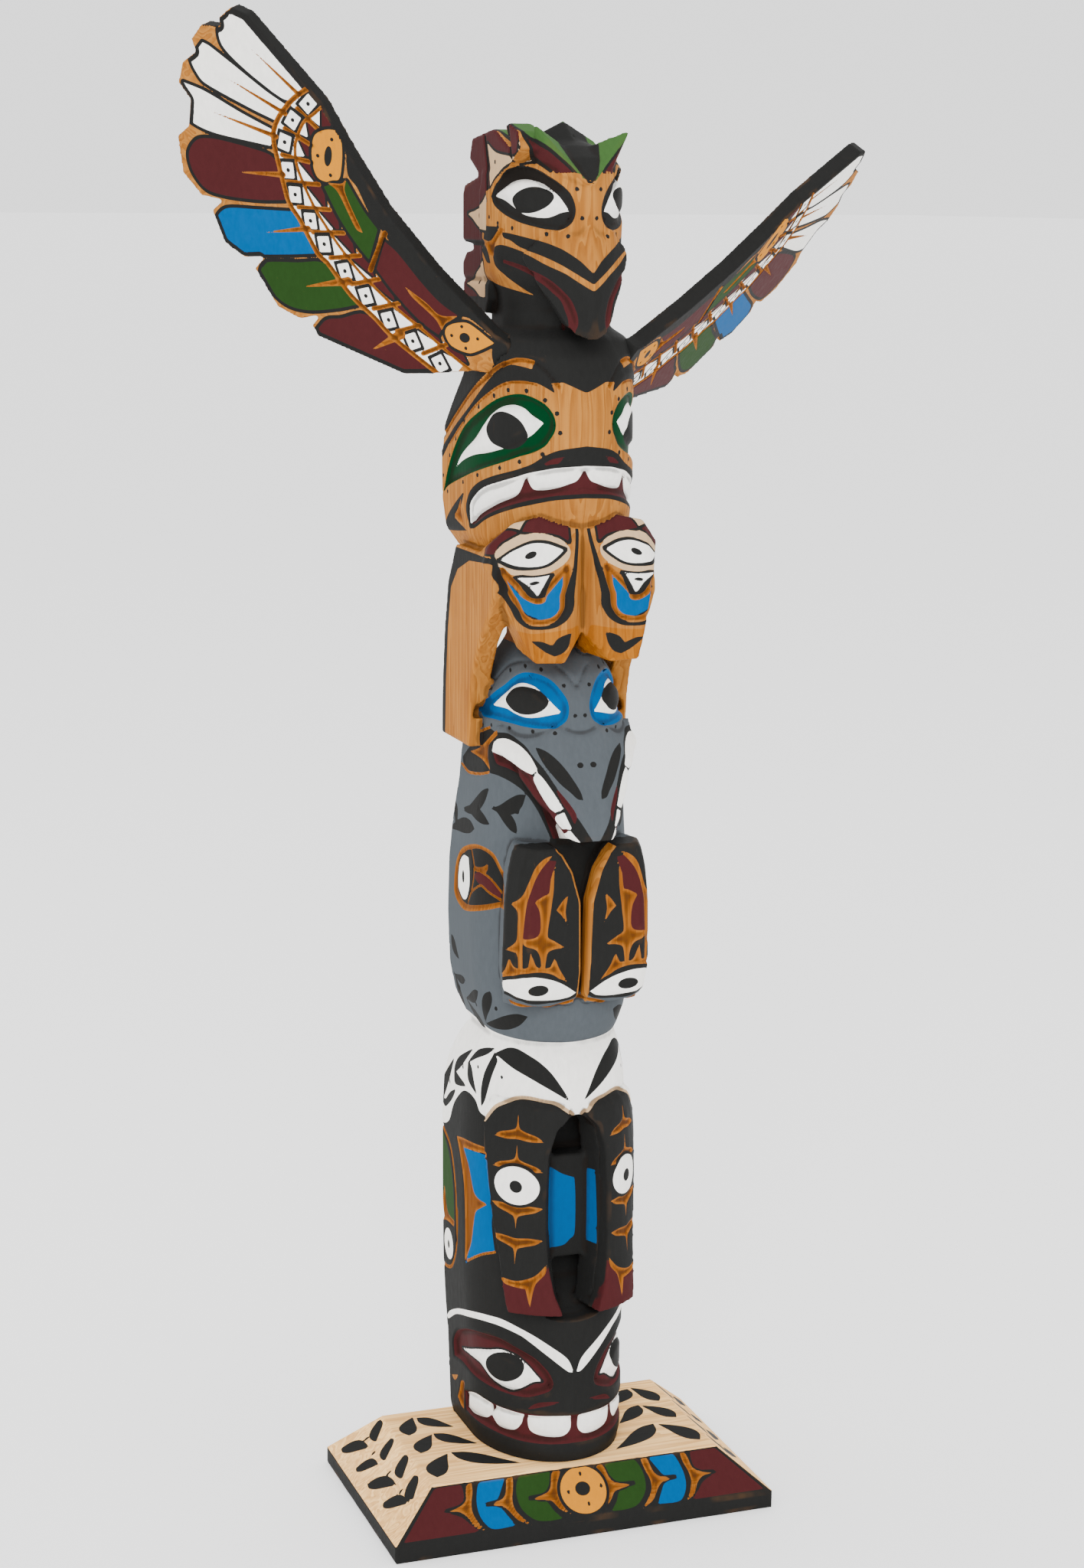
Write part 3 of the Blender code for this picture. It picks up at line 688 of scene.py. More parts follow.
def fifth_figure():
    """The black face at the foot: maroon eye sockets, white brow and a row of teeth."""
    form, groove, oval = canvas.form, canvas.groove, canvas.oval
    form("white", [(137, 59), (127, 63), (104, 68.2), (75, 73), (55, 74.8), (44, 74), (29, 71), (14, 66),
            (5, 62), (1, 57), (5, 57.5), (18, 63), (30, 67.8), (39, 70.5), (55, 72), (75, 70.5), (110, 65),
            (132, 59)], rise=0.5)
    form("maroon", [(125, 52), (113, 58), (88, 63.5), (71, 66), (54, 67), (41, 65.2), (29, 62.5), (20, 58),
            (16, 53.5), (18, 50.5), (27, 48.2), (36, 46.8), (49, 46.6), (64, 46.8), (85, 47.2), (105, 47.4),
            (124, 46)], sink=1.7)
    form("white", [(113, 51), (95, 54), (79, 57.5), (66, 60), (55, 62), (43, 61.5), (35, 59), (24, 53.3),
            (31, 52.6), (44, 48.4), (54, 48.2), (65, 49.4), (79, 52.8)], edge=0.8, rise=1.3)
    oval("black", (53, 56.0), 19.5, 10.6, -14)
    groove("maroon", [(34, 42.7), (26, 44.6), (12, 46)], 1.8, 0.6, 1.0)
    form("maroon", [(101, 37), (80, 40.4), (50, 40.6), (20, 40.8), (-6, 40.7), (-6, 29.8), (34, 29.4),
            (67, 30), (100, 29.6)], edge=0.9, sink=1.3)
    form("white", [(97, 37), (80, 40.6), (64, 40.3), (63, 36), (70, 33), (86, 31), (98, 30.8)], rise=1.0)
    form("white", [(60, 40.2), (49, 40.2), (38, 39.8), (39, 36), (45, 32.6), (58, 32.2), (64, 35)], rise=1.0)
    form("white", [(35, 39.8), (20, 40.4), (3, 40.5), (3, 35), (9, 32.2), (24, 32.2), (33, 34)], rise=1.0)
    form("cut", [(109, 39), (101, 40.5), (103, 35), (104, 28.8), (110, 29), (118, 31), (113, 35)])
    form("wood", [(131, 37), (114, 40.5), (123, 36.5)])


def fourth_figure():
    """White cape with brushed leaves, black arms with cut crescents, blue and green panels."""
    form, groove, oval, leaf = canvas.form, canvas.groove, canvas.oval, canvas.leaf
    form("white", [(-8, 180.3), (190, 180.3), (190, 150), (165, 143), (139, 136.5), (130, 136.5),
            (118, 139.5), (111, 146), (104, 150), (91, 155), (82, 156), (74, 154.5), (69, 151), (61, 150.6),
            (57, 155), (51, 157.6), (42, 160), (34, 160.7), (24, 160), (14, 159), (5, 156), (0, 154.6),
            (-8, 158)])
    form("black", [(68, 174), (57, 177.2), (48, 177.6), (37, 176), (27, 173.7), (18, 170), (10, 164.5),
            (5, 160), (14, 163), (25, 166), (36, 168.5), (48, 170.7), (60, 173)])
    form("black", [(68, 174.5), (62, 172), (64, 165), (66, 156), (68.4, 153), (71, 159), (71.5, 165),
            (70, 170)])
    form("black", [(68, 176), (78, 175), (88, 172.5), (94, 168.4), (96, 166), (88, 160.6), (74, 156.8),
            (81, 162), (86, 165), (93, 166.6), (85, 169.5), (75, 172.6)])
    form("black", [(95, 172.2), (106, 169), (116, 165), (118.6, 161), (115, 157), (110, 155), (98, 155.8),
            (87, 157.6), (105, 158.8), (113, 159.5), (106, 162.5), (99, 169)])
    form("black", [(123, 164), (130, 159.4), (137, 153.5), (140, 145), (131, 143), (124, 144.4),
            (113, 148.7), (106, 153.5), (119, 150.4), (130, 146), (134, 146), (124, 154.3)])
    leaf((168, 170), (150, 150), 5.5, 1.0)
    leaf((176, 160), (158, 143), 4.5, -1.0)
    canvas.dots(0.70, [(55.5, 166.6), (80, 166.9), (102, 163), (122, 153.8)])
    # The cream colour of this line under the cape's lower edge is painted shade along that carved edge; the
    # groove itself is cut 0.7 mm deep.
    groove("cream", [(61, 150.4), (56, 155.6), (51, 158), (42, 160.4), (34, 161), (24, 160.4), (14, 159.4),
            (3, 155.6)], 1.3, 0.7)
    for height, spike in ((146, 9.5), (134.8, 9.5), (121.4, -9.2), (109.4, -10.4)):
        canvas.crescent((38.6, height), 19.0, spike, thick=2.9)
    oval("white", (38.8, 128.8), 16.6, 14.0, edge=1.2, rise=0.3)
    oval("black", (38.6, 128.6), 4.6, 4.6)
    on_trunk((pole_off > 2.2) & (pole_z < 112))
    form("maroon", [(47, 92.6), (38, 91.2), (32, 91.5), (26, 93.7), (19.5, 99.8), (16.5, 91), (13, 85),
            (4, 76.5), (16, 76.7), (34, 75.4), (41, 76), (44, 86)], edge=1.1)
    form("cut", [(47, 94), (40, 93.4), (34.5, 94), (27, 96.2), (20.5, 100.5), (21.5, 97), (27, 93),
            (30, 84.4), (32.5, 91), (39, 91.2), (45, 92)])
    on_trunk()
    form("blue", [(86, 134), (70, 135), (57, 136), (55.5, 128), (54, 120.5), (57.5, 111), (55.5, 100),
            (66, 97), (78, 92), (85, 89), (80, 95), (76, 104), (74, 107), (72, 112), (68, 114.3),
            (61.5, 117), (69, 117), (73.5, 119.4), (79, 128)])
    form("cut", [(99, 135.8), (85, 137.3), (57.5, 138.6), (57.4, 136.6), (78, 134.6), (85.6, 133.8),
            (79, 128.3), (73.5, 119.4), (68.6, 117.4), (60.5, 117), (67.5, 114), (71.5, 111.8), (73.8, 107),
            (77.5, 98), (86, 89.5), (84, 99), (83.5, 110), (85, 121), (90.5, 130)], sink=0.6)
    groove("cut", [(82, 91), (67, 96.6), (55.5, 99.6)], 1.0, 0.4)
    form("green", [(168, 134), (140, 134.4), (132, 131.6), (123, 128), (113, 121), (107.5, 112), (107, 101),
            (124, 101), (128, 105.7), (131, 112.7), (136, 104.5), (139, 96), (168, 96)], edge=1.0)
    groove("cut", [(168, 136.5), (139, 135.6), (131, 133.4), (117, 129.8), (108, 123), (102, 112.7),
            (101.5, 102), (102, 94)], 1.5, 0.5)
    groove("cut", [(99, 107), (101.2, 97), (106, 89.3), (118, 82), (136, 80), (150, 82)], 1.3, 0.5)
    form("cut", [(131, 112.8), (127.5, 105.7), (122, 102), (107, 101.4), (109, 99), (128, 98.6), (144, 95),
            (138.4, 99), (135.8, 104.5)], sink=0.6)
    oval("white", (122, 90.2), 10.5, 12.0, edge=1.1, rise=0.2)
    oval("black", (121, 90.2), 2.2, 3.4)
    recess = between(pole_z, RECESS_FOOT, RECESS_TOP)
    front = between(pole_y, -24.5, -8) & recess
    on_trunk(front, mirrored=False)
    form("blue", [(-22, 135.7), (-7, 130.8), (5.5, 128.5), (6.5, 122), (6.5, 111), (5.5, 106.5), (2, 105.3),
            (-4, 103.2), (-17, 103.2), (-22, 107)], edge=0.7)
    inner_wall = (pole_x > 5) & (pole_normal[:, 0] < -0.5) & (pole_y < -20) & recess
    on_trunk(inner_wall, mirrored=False)
    form("blue", [(11, 131), (18.2, 132), (18.2, 104), (11, 105)])
    on_trunk()


def third_figure():
    """The grey figure: blue eye sockets, open snout with teeth, brushed leaves and two paws."""
    form, groove, oval, leaf = canvas.form, canvas.groove, canvas.oval, canvas.leaf
    on_trunk(~slab)
    form("blue", [(109, 297.3), (96, 303.8), (77, 309), (67, 312.4), (56, 314.2), (40, 314.2), (26, 312.4),
            (16.5, 309.2), (10.6, 305.6), (9.6, 302), (12, 298.8), (19, 296.8), (31, 295.8), (46, 296),
            (60, 296.6), (81, 296.6), (100, 295.9)], sink=1.5)
    form("white", [(93, 300.8), (83, 303.8), (73, 307.4), (66, 309.8), (56, 311), (42, 310.2), (31, 307.6),
            (24, 304.7), (15, 301.4), (23, 300.9), (37, 299.6), (47, 299.2), (57, 299.8), (70, 301.2)],
            rise=1.2)
    oval("black", (49.5, 305), 19.0, 9.6, -4)
    canvas.dots(0.75, [(56.7, 316.2), (36.8, 315.6), (75.6, 314), (94.5, 309.9), (97, 306.5), (104, 301.2),
            (98, 292.8), (82, 294.2), (60, 294.8), (39, 294.6), (21.4, 294.8), (4.4, 300.4), (13.3, 310.6)])
    groove("grey", [(98, 308.5), (94, 311.6), (86, 315), (69, 317.2), (51, 318)], 1.8, 0.8, 0.8)
    groove("grey", [(21, 317.1), (11, 314.7), (2.5, 311), (-2, 309)], 1.8, 0.8, 0.5)
    form("black", [(35, 289.9), (27.4, 288.8), (20.6, 286.6), (14.4, 283.3), (9.5, 279.4), (6, 275.6),
            (5, 272.9), (8, 273.4), (11.4, 275.4), (16.7, 278), (21.9, 281), (28, 284.6)])
    canvas.dots(0.95, [(4.4, 284.2)])
    form("black", [(83, 290), (75, 292.2), (62, 293.2), (54, 292.2), (43, 289.9), (36, 287), (27, 282.6),
            (20, 277.7), (14, 273), (10, 269), (6.5, 265), (2, 259.5), (-4, 252), (15, 252), (19, 255.8),
            (25, 261.8), (32, 267.4), (41, 272.2), (52, 275.2), (65, 276.8), (78, 277), (83, 282.6)])
    form("maroon", [(76, 284.6), (66, 285), (52, 284), (42, 282), (33, 280), (28, 275), (22, 270.5),
            (15, 265), (9, 259), (1, 253), (15, 253.1), (19, 257.8), (25, 264.6), (33, 273), (42, 277.6),
            (58, 280.2), (70, 281)], sink=1.4)
    form("white", [(76.5, 285), (74.4, 288.8), (62, 291.2), (55, 291), (45, 289.2), (36.5, 286.2),
            (30.8, 282.2), (34, 280.8), (44, 282.4), (53, 284.2), (67, 284)], rise=1.0)
    form("white", [(31.4, 281.6), (26.7, 279.4), (20.4, 275), (14.8, 269.8), (19, 268.4), (23, 269.9),
            (28, 274), (33, 278.6)], rise=1.0)
    form("white", [(14.6, 268.8), (11, 263.4), (16, 262.8), (19.4, 264.6), (19.6, 266.6)], rise=0.8)
    form("white", [(11.8, 262.8), (7.5, 259), (2, 254.8), (6, 252.8), (11.4, 254.8), (16.3, 260.6)], rise=0.8)
    groove("maroon", [(19, 276.2), (14.6, 272.4), (10.6, 268.4), (9.8, 265.2)], 1.5, 0.5, 1.0)
    form("black", [(133, 277.7), (118, 283.4), (97, 290), (84, 292.6), (75, 292.3), (82, 288), (82, 282.5),
            (76, 277.6), (93, 275.6), (117, 274), (129, 275)], sink=0.3)
    form("cut", [(120, 280.9), (101, 284), (88, 287.9), (74, 292.8), (66, 293.9), (77, 289.3),
            (82.6, 286.6), (82.6, 283.4), (77, 278), (89, 280.2), (102, 280.8)], sink=0.6)
    groove("cut", [(101, 288.2), (97, 290.9), (84, 293.2)], 1.0, 0.4)
    groove("cut", [(134, 275), (117, 273.4), (93, 275), (78, 277)], 1.0, 0.4)
    for tip, root, belly, bend in (
            ((75, 271.6), (118, 258.8), 5.6, -2.6), ((69, 258.5), (117, 260), 4.6, 1.6),
            ((40, 271.6), (70, 264.4), 5.6, -2.2), ((44, 257), (69, 265.5), 4.4, 1.6),
            ((136, 260.5), (127.5, 250), 4.0, -1.0), ((88, 255), (141, 249.5), 5.6, 1.2),
            ((131, 210.5), (115, 203), 4.8, 1.0), ((107, 196.6), (133, 195.6), 3.6, -0.8),
            ((82, 196), (116, 189), 4.6, -1.2), ((66, 198), (86, 183.6), 5.8, 1.2),
            ((36, 191), (86, 183.4), 6.0, -0.8), ((93, 180.8), (116, 189), 4.2, -0.8),
            ((138, 182.5), (132, 197), 4.0, 0.8), ((176, 262), (150, 250), 6.0, 1.5),
            ((176, 248), (152, 240), 5.0, -1.2), ((176, 208), (154, 196), 6.0, 1.5),
            ((176, 194), (154, 186), 5.0, -1.2), ((172, 292), (150, 280), 6.0, 1.5)):
        leaf(tip, root, belly, bend)
    canvas.dots(0.85, [(86, 263), (45.8, 265), (63, 191.8), (92.5, 189.6), (125.6, 191.5)])
    form("cut", [(124, 228.7), (121, 238.5), (112, 244.8), (94, 248.5), (78, 250), (63.5, 248.7),
            (55, 243.8), (47, 238), (46, 231.5), (71, 226.9), (100, 223.3), (117, 225)], sink=0.5)
    form("black", [(115, 229.8), (113, 239), (106, 244.4), (91, 247.2), (78, 248.6), (66, 247.4),
            (58.5, 243.6), (52, 238), (51, 232.4), (72, 228.8), (97, 225.8), (110, 226.6)])
    form("white", [(117, 229.7), (117.5, 234.3), (115, 239.4), (108.5, 242.8), (98, 243.2), (94.3, 239),
            (93.6, 233), (99, 227.8), (107, 226.9)], edge=0.9)
    oval("black", (107, 235), 2.6, 4.8)
    form("maroon", [(86.2, 237.7), (79, 240.2), (70.6, 239.6), (62, 237.5), (56, 235), (56, 232.6),
            (65, 233.4), (77, 235.6)])
    groove("cut", [(93.4, 246.6), (86, 241.2), (88, 233.6), (96, 227)], 0.9, 0.4)
    groove("cut", [(86.5, 240.4), (75.7, 240.4), (65, 238.9), (55, 235)], 0.9, 0.4)
    groove("cut", [(91.7, 230.5), (82.4, 233.7), (75.3, 235.4), (67.6, 234), (52, 231.7)], 0.9, 0.4)
    form("cut", [(87, 241.6), (81, 241.6), (74, 242.5), (68.5, 244.3), (69.5, 241.4), (76, 240.2),
                 (85, 239.8)])
    paws()


def paws():
    """Raised paws: black with maroon stripe, cut strips, an eye at the heel, bare inner sides."""
    form, groove, oval = canvas.form, canvas.groove, canvas.oval
    on_trunk((pole_y < PAWS_FRONT) & between(pole_z, PAWS_FOOT, PAWS_TOP))
    form("black", [(46, 256), (-6, 256), (-6, 202), (2, 200.6), (9, 199.4), (27, 198), (40, 200.6),
            (63, 202), (58, 210), (52, 225), (47, 242), (43, 252)])
    form("maroon", [(21, 251.2), (17, 250.8), (18.4, 248), (19.6, 243), (20.7, 238.2), (25, 237.6),
            (27.6, 236.8), (25.2, 233), (25, 228), (25.4, 223), (33.7, 222.6), (33.2, 228), (32, 234.2),
            (30, 240.3), (26.3, 247)], sink=0.2)
    form("cut", [(19, 253), (23.7, 251.6), (27.4, 248.9), (30, 244.4), (33, 239.2), (35.8, 237),
            (40, 235.1), (36, 232.9), (36, 227.8), (36.5, 222.7), (39, 220.4), (43.5, 218), (37, 218),
            (36, 216.4), (35.8, 211.6), (33.8, 211.6), (33.8, 220), (33.5, 224), (31.6, 235.2),
            (29.5, 240.4), (25.8, 247)], sink=0.7)
    form("cut", [(17, 249.8), (18.2, 246.4), (18.5, 240.4), (20, 232.8), (21.6, 223.8), (18, 221.9),
            (12, 219.2), (18, 219), (21.4, 218), (22.5, 214.9), (23, 211.4), (24.8, 211.4), (25.2, 216),
            (27.4, 219.3), (33, 221), (33.4, 223), (26.8, 223.9), (25, 227), (25.4, 233), (27.6, 236.8),
            (23, 238.7), (20.8, 239.2), (19.6, 245.5)], sink=0.7)
    form("cut", [(41, 215.4), (38.6, 212.9), (35, 212.3), (31, 212.9), (29.7, 218.4), (27.3, 213.3),
            (24.3, 212.2), (20.2, 212.4), (17.7, 215.8), (15, 211.3), (8, 204), (14, 207.2), (19.2, 209.8),
            (26.4, 211), (34.4, 210.5), (43, 208), (62, 202.3), (45.4, 209.4)], sink=0.7)
    form("cut", [(10.5, 238.4), (14.2, 235.8), (17, 233.1), (14.2, 231.2), (10.5, 227.2), (12, 232.3)])
    form("white", [(57, 201.6), (48, 205.4), (39, 207.9), (30.4, 209.3), (22, 208.2), (14, 206), (4.6, 202),
            (9, 200.3), (18, 199.5), (27.4, 200), (35, 201), (45, 202.4)], edge=1.3)
    oval("black", (26.2, 203.9), 5.4, 4.2)
    groove("cut", [(61, 199.4), (52, 198.6), (43, 198.2), (31.5, 196.8), (22, 195.6), (11, 197.4),
                   (1, 199)], 1.4, 0.5)
    raised = (pole_y < PAW_WALL_FRONT) & between(pole_z, PAW_WALL_FOOT, PAW_WALL_TOP)
    inward = -pole_normal[:, 0] * np.sign(pole_x)
    who = np.flatnonzero(raised & (np.abs(pole_x) < PAW_WALL_HALF))
    canvas.paint("wood", who, np.clip((inward[who] - 0.5) * 4.0, -REACH, REACH))
    on_trunk()


def second_figure():
    """Bare cedar face under a black shoulder, its side slabs, and the two painted hands."""
    form, groove, oval = canvas.form, canvas.groove, canvas.oval
    ground("wood", 342, 500)
    ground("wood", 270, 360, slab)
    who = np.flatnonzero(slab)
    canvas.paint("black", who, np.maximum(pole_y[who] - slab_back[who] + 4.6, pole_z[who] - slab_arch[who]))
    hands = (pole_off > HANDS_PROUD) & (pole_y < HANDS_FRONT) & between(pole_z, HANDS_FOOT, HANDS_TOP)
    core = (np.abs(pole_x) < 21.5) & between(pole_z, 322, 348)
    ground("wood", 318, 352, core & (pole_y > -20))
    ground("wood", 300, 385, hands & (pole_z < 345))
    form("black", [(-8, 442), (190, 442), (190, 396), (140, 392), (118, 402.2), (92, 410.8), (77, 417.2),
            (64, 421.4), (52, 423.4), (41, 423.4), (32, 422.2), (25, 419.6), (20, 417.1), (10, 414.7),
            (0, 412.6), (-8, 412.6)])
    groove("cut", [(180, 391), (140, 393.7), (117, 401.3), (90, 410), (76, 415.8), (64, 420.3), (54, 422.6),
            (46, 423.3), (36, 422.5), (30, 420.8), (25, 418.4), (19, 414.5)], 1.6, 0.8)
    form("black", [(150, 387), (140, 389), (111, 398), (86, 406), (77, 412.2), (69, 417), (61, 420),
            (55, 421.4), (46, 421.2), (35, 419.9), (28, 418), (24, 415.6), (21.3, 412.3), (27, 414),
            (34, 415.7), (42, 416.3), (53, 416), (61, 414.5), (70, 411.4), (80, 407), (92, 401),
            (116, 393.4), (140, 384), (150, 382)], rise=0.6)
    groove("cut", [(120, 391.6), (92, 400.2), (80, 406.2), (70, 410.6), (61, 413.9), (52, 415.5),
            (42, 415.8), (34, 415.1)], 0.9, 0.5)
    form("deep", [(136, 372.9), (123, 382.1), (109, 391), (90, 398.6), (74, 405), (63, 409.2), (53, 411.2),
            (44, 411.8), (35, 410.6), (27, 408.2), (22, 404.8), (20.5, 401.3), (22, 397.8), (26, 394.7),
            (33, 392.2), (43, 390.2), (52, 388.2), (62, 386.1), (74, 383.6), (86, 381), (122, 376.2)],
            sink=1.7)
    form("white", [(112, 383), (98, 388.6), (80, 394.6), (72, 400.2), (66, 404), (58, 406.9), (49.5, 407.9),
            (42, 407), (36, 404.6), (28, 402.2), (33, 399.4), (37.5, 397.3), (43, 395.5), (51, 393.3),
            (59, 391.8), (68, 390.4), (78, 389.3), (94, 386.5)], rise=1.4)
    oval("black", (53.5, 398.9), 20.0, 12.8, 8)
    canvas.dots(0.85, [(64, 410.6), (53.5, 412.9), (40.5, 413), (27.9, 410), (20, 405.6), (17.6, 399),
            (28, 391.6), (42, 388.6), (54.8, 386), (71.8, 382.5), (87, 379), (123, 374), (133, 379.4),
            (118.6, 387.2), (107, 393.6), (91, 400), (76, 406.2)])
    form("black", [(81, 362.8), (84, 369.5), (80, 375.4), (72, 379.6), (60, 382.8), (45, 385.6),
            (34.6, 388), (27.7, 390.6), (20.7, 392.6), (13, 393.6), (-8, 395), (-8, 386.5), (18, 386.2),
            (31, 385.2), (45, 382.6), (60, 380), (69.6, 377.2), (75.7, 373.8), (78.3, 369.6), (79, 364)],
            rise=0.4)
    form("maroon", [(28, 387.8), (22, 390), (14, 391), (18, 388.6), (23, 387.6)], sink=0.5)
    form("maroon", [(80.5, 364.6), (79, 371.4), (74, 375.6), (66, 378.8), (55, 381.2), (41, 383.8),
            (27.3, 386), (18, 387), (-8, 388), (-8, 378.2), (17.3, 377.4), (31.3, 375.8), (45.8, 373.3),
            (62.4, 369.3), (76, 365)], edge=1.5, sink=1.6)
    form("white", [(80.5, 364.8), (79, 371.4), (73.8, 375.4), (66, 378.6), (55, 381), (45, 383),
            (36, 384.9), (27.3, 386), (18, 387), (-8, 388), (-8, 381.6), (-3, 382.4), (0.5, 386),
            (4.6, 382.4), (9.6, 381.2), (17.3, 379.8), (27, 378.9), (33, 379.4), (37.4, 383.6),
            (41.6, 377.8), (46, 375.8), (57, 373), (72, 368.4)], rise=1.3)
    form("black", [(85, 376), (97.5, 372.4), (119, 367.6), (134.6, 363.2), (142, 359.4), (112, 360.6),
            (86, 362), (101.6, 364), (112.5, 365.5), (97, 368.1), (88, 372.3)])
    form("cut", [(111, 366.2), (100, 369), (90, 373.2), (93, 368.6), (91, 364.4), (100, 364.6)], sink=0.6)
    painted_hands(hands)


def painted_hands(where):
    """Brow, eye, blue mouth panel and finger tips on the hands that lie under the jaw."""
    form, groove, oval = canvas.form, canvas.groove, canvas.oval
    on_trunk(where)
    form("cream", [(116, 358), (112, 366), (60, 376), (13, 380), (8, 374), (9.6, 362), (48, 357), (80, 356)])
    form("maroon", [(108, 357.5), (73, 361.4), (57.4, 363.8), (42.4, 365.6), (38, 365), (41.7, 363.4),
            (46.4, 360.8), (48.6, 357.2), (68, 355.8), (102, 355.8)], edge=0.9)
    form("maroon", [(36.6, 365.3), (34.4, 368.6), (29, 370.4), (20.4, 371.9), (13.8, 371.8), (10.5, 369.3),
            (9.5, 361.8), (15.6, 363.9), (23, 364.8), (30, 365)], edge=0.9)
    form("cream", [(48, 356), (46, 359.8), (39.7, 363.1), (31.7, 364.6), (22, 364.2), (13.5, 361.8),
            (9.2, 359.4), (10.3, 356), (20, 351.6), (28, 350.5), (36, 351), (45, 352.4)])
    form("white", [(44.4, 355.7), (38.5, 359), (31, 361.3), (22.6, 361.2), (12.8, 359.1), (17.3, 356.5),
            (22.4, 354.3), (29, 353.7), (37, 354.3)], edge=1.1)
    oval("black", (30, 357.6), 2.6, 2.6)
    form("blue", [(42.6, 351.6), (37.8, 346.4), (33, 343.4), (27, 341.6), (21, 345.2), (14.5, 350.6),
            (11, 353.6), (11.8, 348.3), (14.9, 339.3), (20.3, 336.6), (26.4, 336), (32, 337.8),
            (36.9, 340.6), (40.6, 345.7)], edge=0.7)
    groove("cut", [(44, 351.6), (42.4, 343.8), (36.4, 337.6), (30.4, 335.3), (23.8, 335), (17, 336.3),
            (13, 339.6), (11, 347), (10.6, 353)], 1.4, 0.6)
    groove("cut", [(44, 352.4), (36.8, 348.9), (32.3, 345.6), (26.8, 341.9), (19.6, 347.2), (11, 353.8)],
           1.4, 0.7)
    form("white", [(33.5, 350.5), (27.4, 350.1), (19, 350.9), (22.7, 347.2), (26.7, 343.8), (28.6, 346.6),
                   (30.7, 348.7)], edge=0.8)
    canvas.dots(0.70, [(26.2, 348.3)])
    groove("black", [(49.2, 356), (47.4, 351.6), (45.3, 346), (42, 339.7), (37.8, 335.6), (33.4, 333.8),
            (27.2, 333), (20.4, 333.4), (14.4, 335.8), (10.6, 340.2), (8, 348.2), (5.8, 356.4), (4, 365.6),
            (5.6, 369)], 1.2)
    form("tip", [(41, 331), (22, 331.4), (4, 333), (2, 322), (14, 318), (20, 315), (28, 318), (41, 319)])
    form("black", [(31, 328.6), (26, 328.4), (20.6, 326.8), (17, 329.4), (9.6, 331), (11.6, 326.3),
            (15, 323.9), (20, 322.8), (24.4, 324.6), (28, 326.8)], sink=0.2)
    on_trunk()


def top_head():
    """The beaked head: black eye ovoids, nostril band, beak with its slit, ears and neck."""
    form, groove, oval = canvas.form, canvas.groove, canvas.oval
    form("black", [(-8, 441), (190, 441), (190, 448), (132, 449.8), (86, 448.1), (68, 446.8), (51, 445.5),
            (31, 443.7), (22, 441.9), (8, 440), (-8, 438)])
    ground("black", 424, 444)
    form("black", [(84, 478.1), (80, 481.5), (73, 484.9), (65, 487.2), (55.5, 488), (44, 487.4), (34, 485),
            (24, 482), (17.5, 479.1), (14, 475.8), (13.6, 472.2), (17.5, 469.1), (25.6, 467.2),
            (34.5, 467.1), (46, 468.2), (57, 469.6), (70, 472.3), (80, 475.2)], sink=1.3)
    form("white", [(81.2, 478.1), (74, 480.6), (66, 483.2), (56, 484.4), (46, 484), (38, 482.6),
            (30.6, 480.4), (24.8, 477.6), (17.8, 473.2), (25, 472.7), (31, 471.6), (36, 471), (44, 471.1),
            (53, 472), (61, 474.1), (70, 476.6)], rise=1.2)
    oval("black", (46.8, 476.9), 19.6, 8.6, -8)
    canvas.dots(0.80, [(60.7, 490), (46, 489.5), (27, 486.8), (12, 480.6), (8, 471), (36, 465.6), (20, 465),
            (61.4, 467.4), (75, 469), (86, 471), (93.5, 476.7), (82, 485)])
    form("black", [(71, 466), (63.6, 465.7), (50, 464.4), (36, 462.8), (25.7, 461), (18.5, 459.1),
            (10.7, 456.8), (5.6, 454.8), (-1, 452), (-1, 448.8), (6.3, 450.7), (14, 452.7), (23.5, 455.2),
            (32.5, 457.2), (43, 459.2), (55, 461.1), (62.5, 463.2), (69, 464.2)])
    form("black", [(81, 458.6), (79, 460.8), (72, 461.7), (62.5, 461), (49, 458.9), (35.6, 455.6),
            (22, 452.8), (11, 449.9), (0, 446.8), (-8, 444), (-8, 416), (40, 416), (34, 432), (24, 440),
            (26, 442.4), (38.7, 444.4), (57, 447.8), (70, 451.5), (79.5, 454.7)], rise=0.3)
    groove("maroon", [(69, 456.2), (55.4, 454.5), (41.7, 452), (28.7, 448.8), (17.4, 445), (11.4, 440.4),
            (9.4, 436), (9.9, 433.4)], 1.9, 0.9, 0.5)
    form("black", [(104, 468), (73, 467.8), (79, 464.6), (86, 462.8), (112, 463.4)])
    form("black", [(113, 462.3), (89, 459.4), (85.7, 455.2), (99, 455.6), (121, 459.2)])
    form("cut", [(72, 467.4), (68, 467), (78, 462), (80.4, 457.8), (86, 458.3), (97, 462.1), (83, 463),
            (77.5, 465.3)])


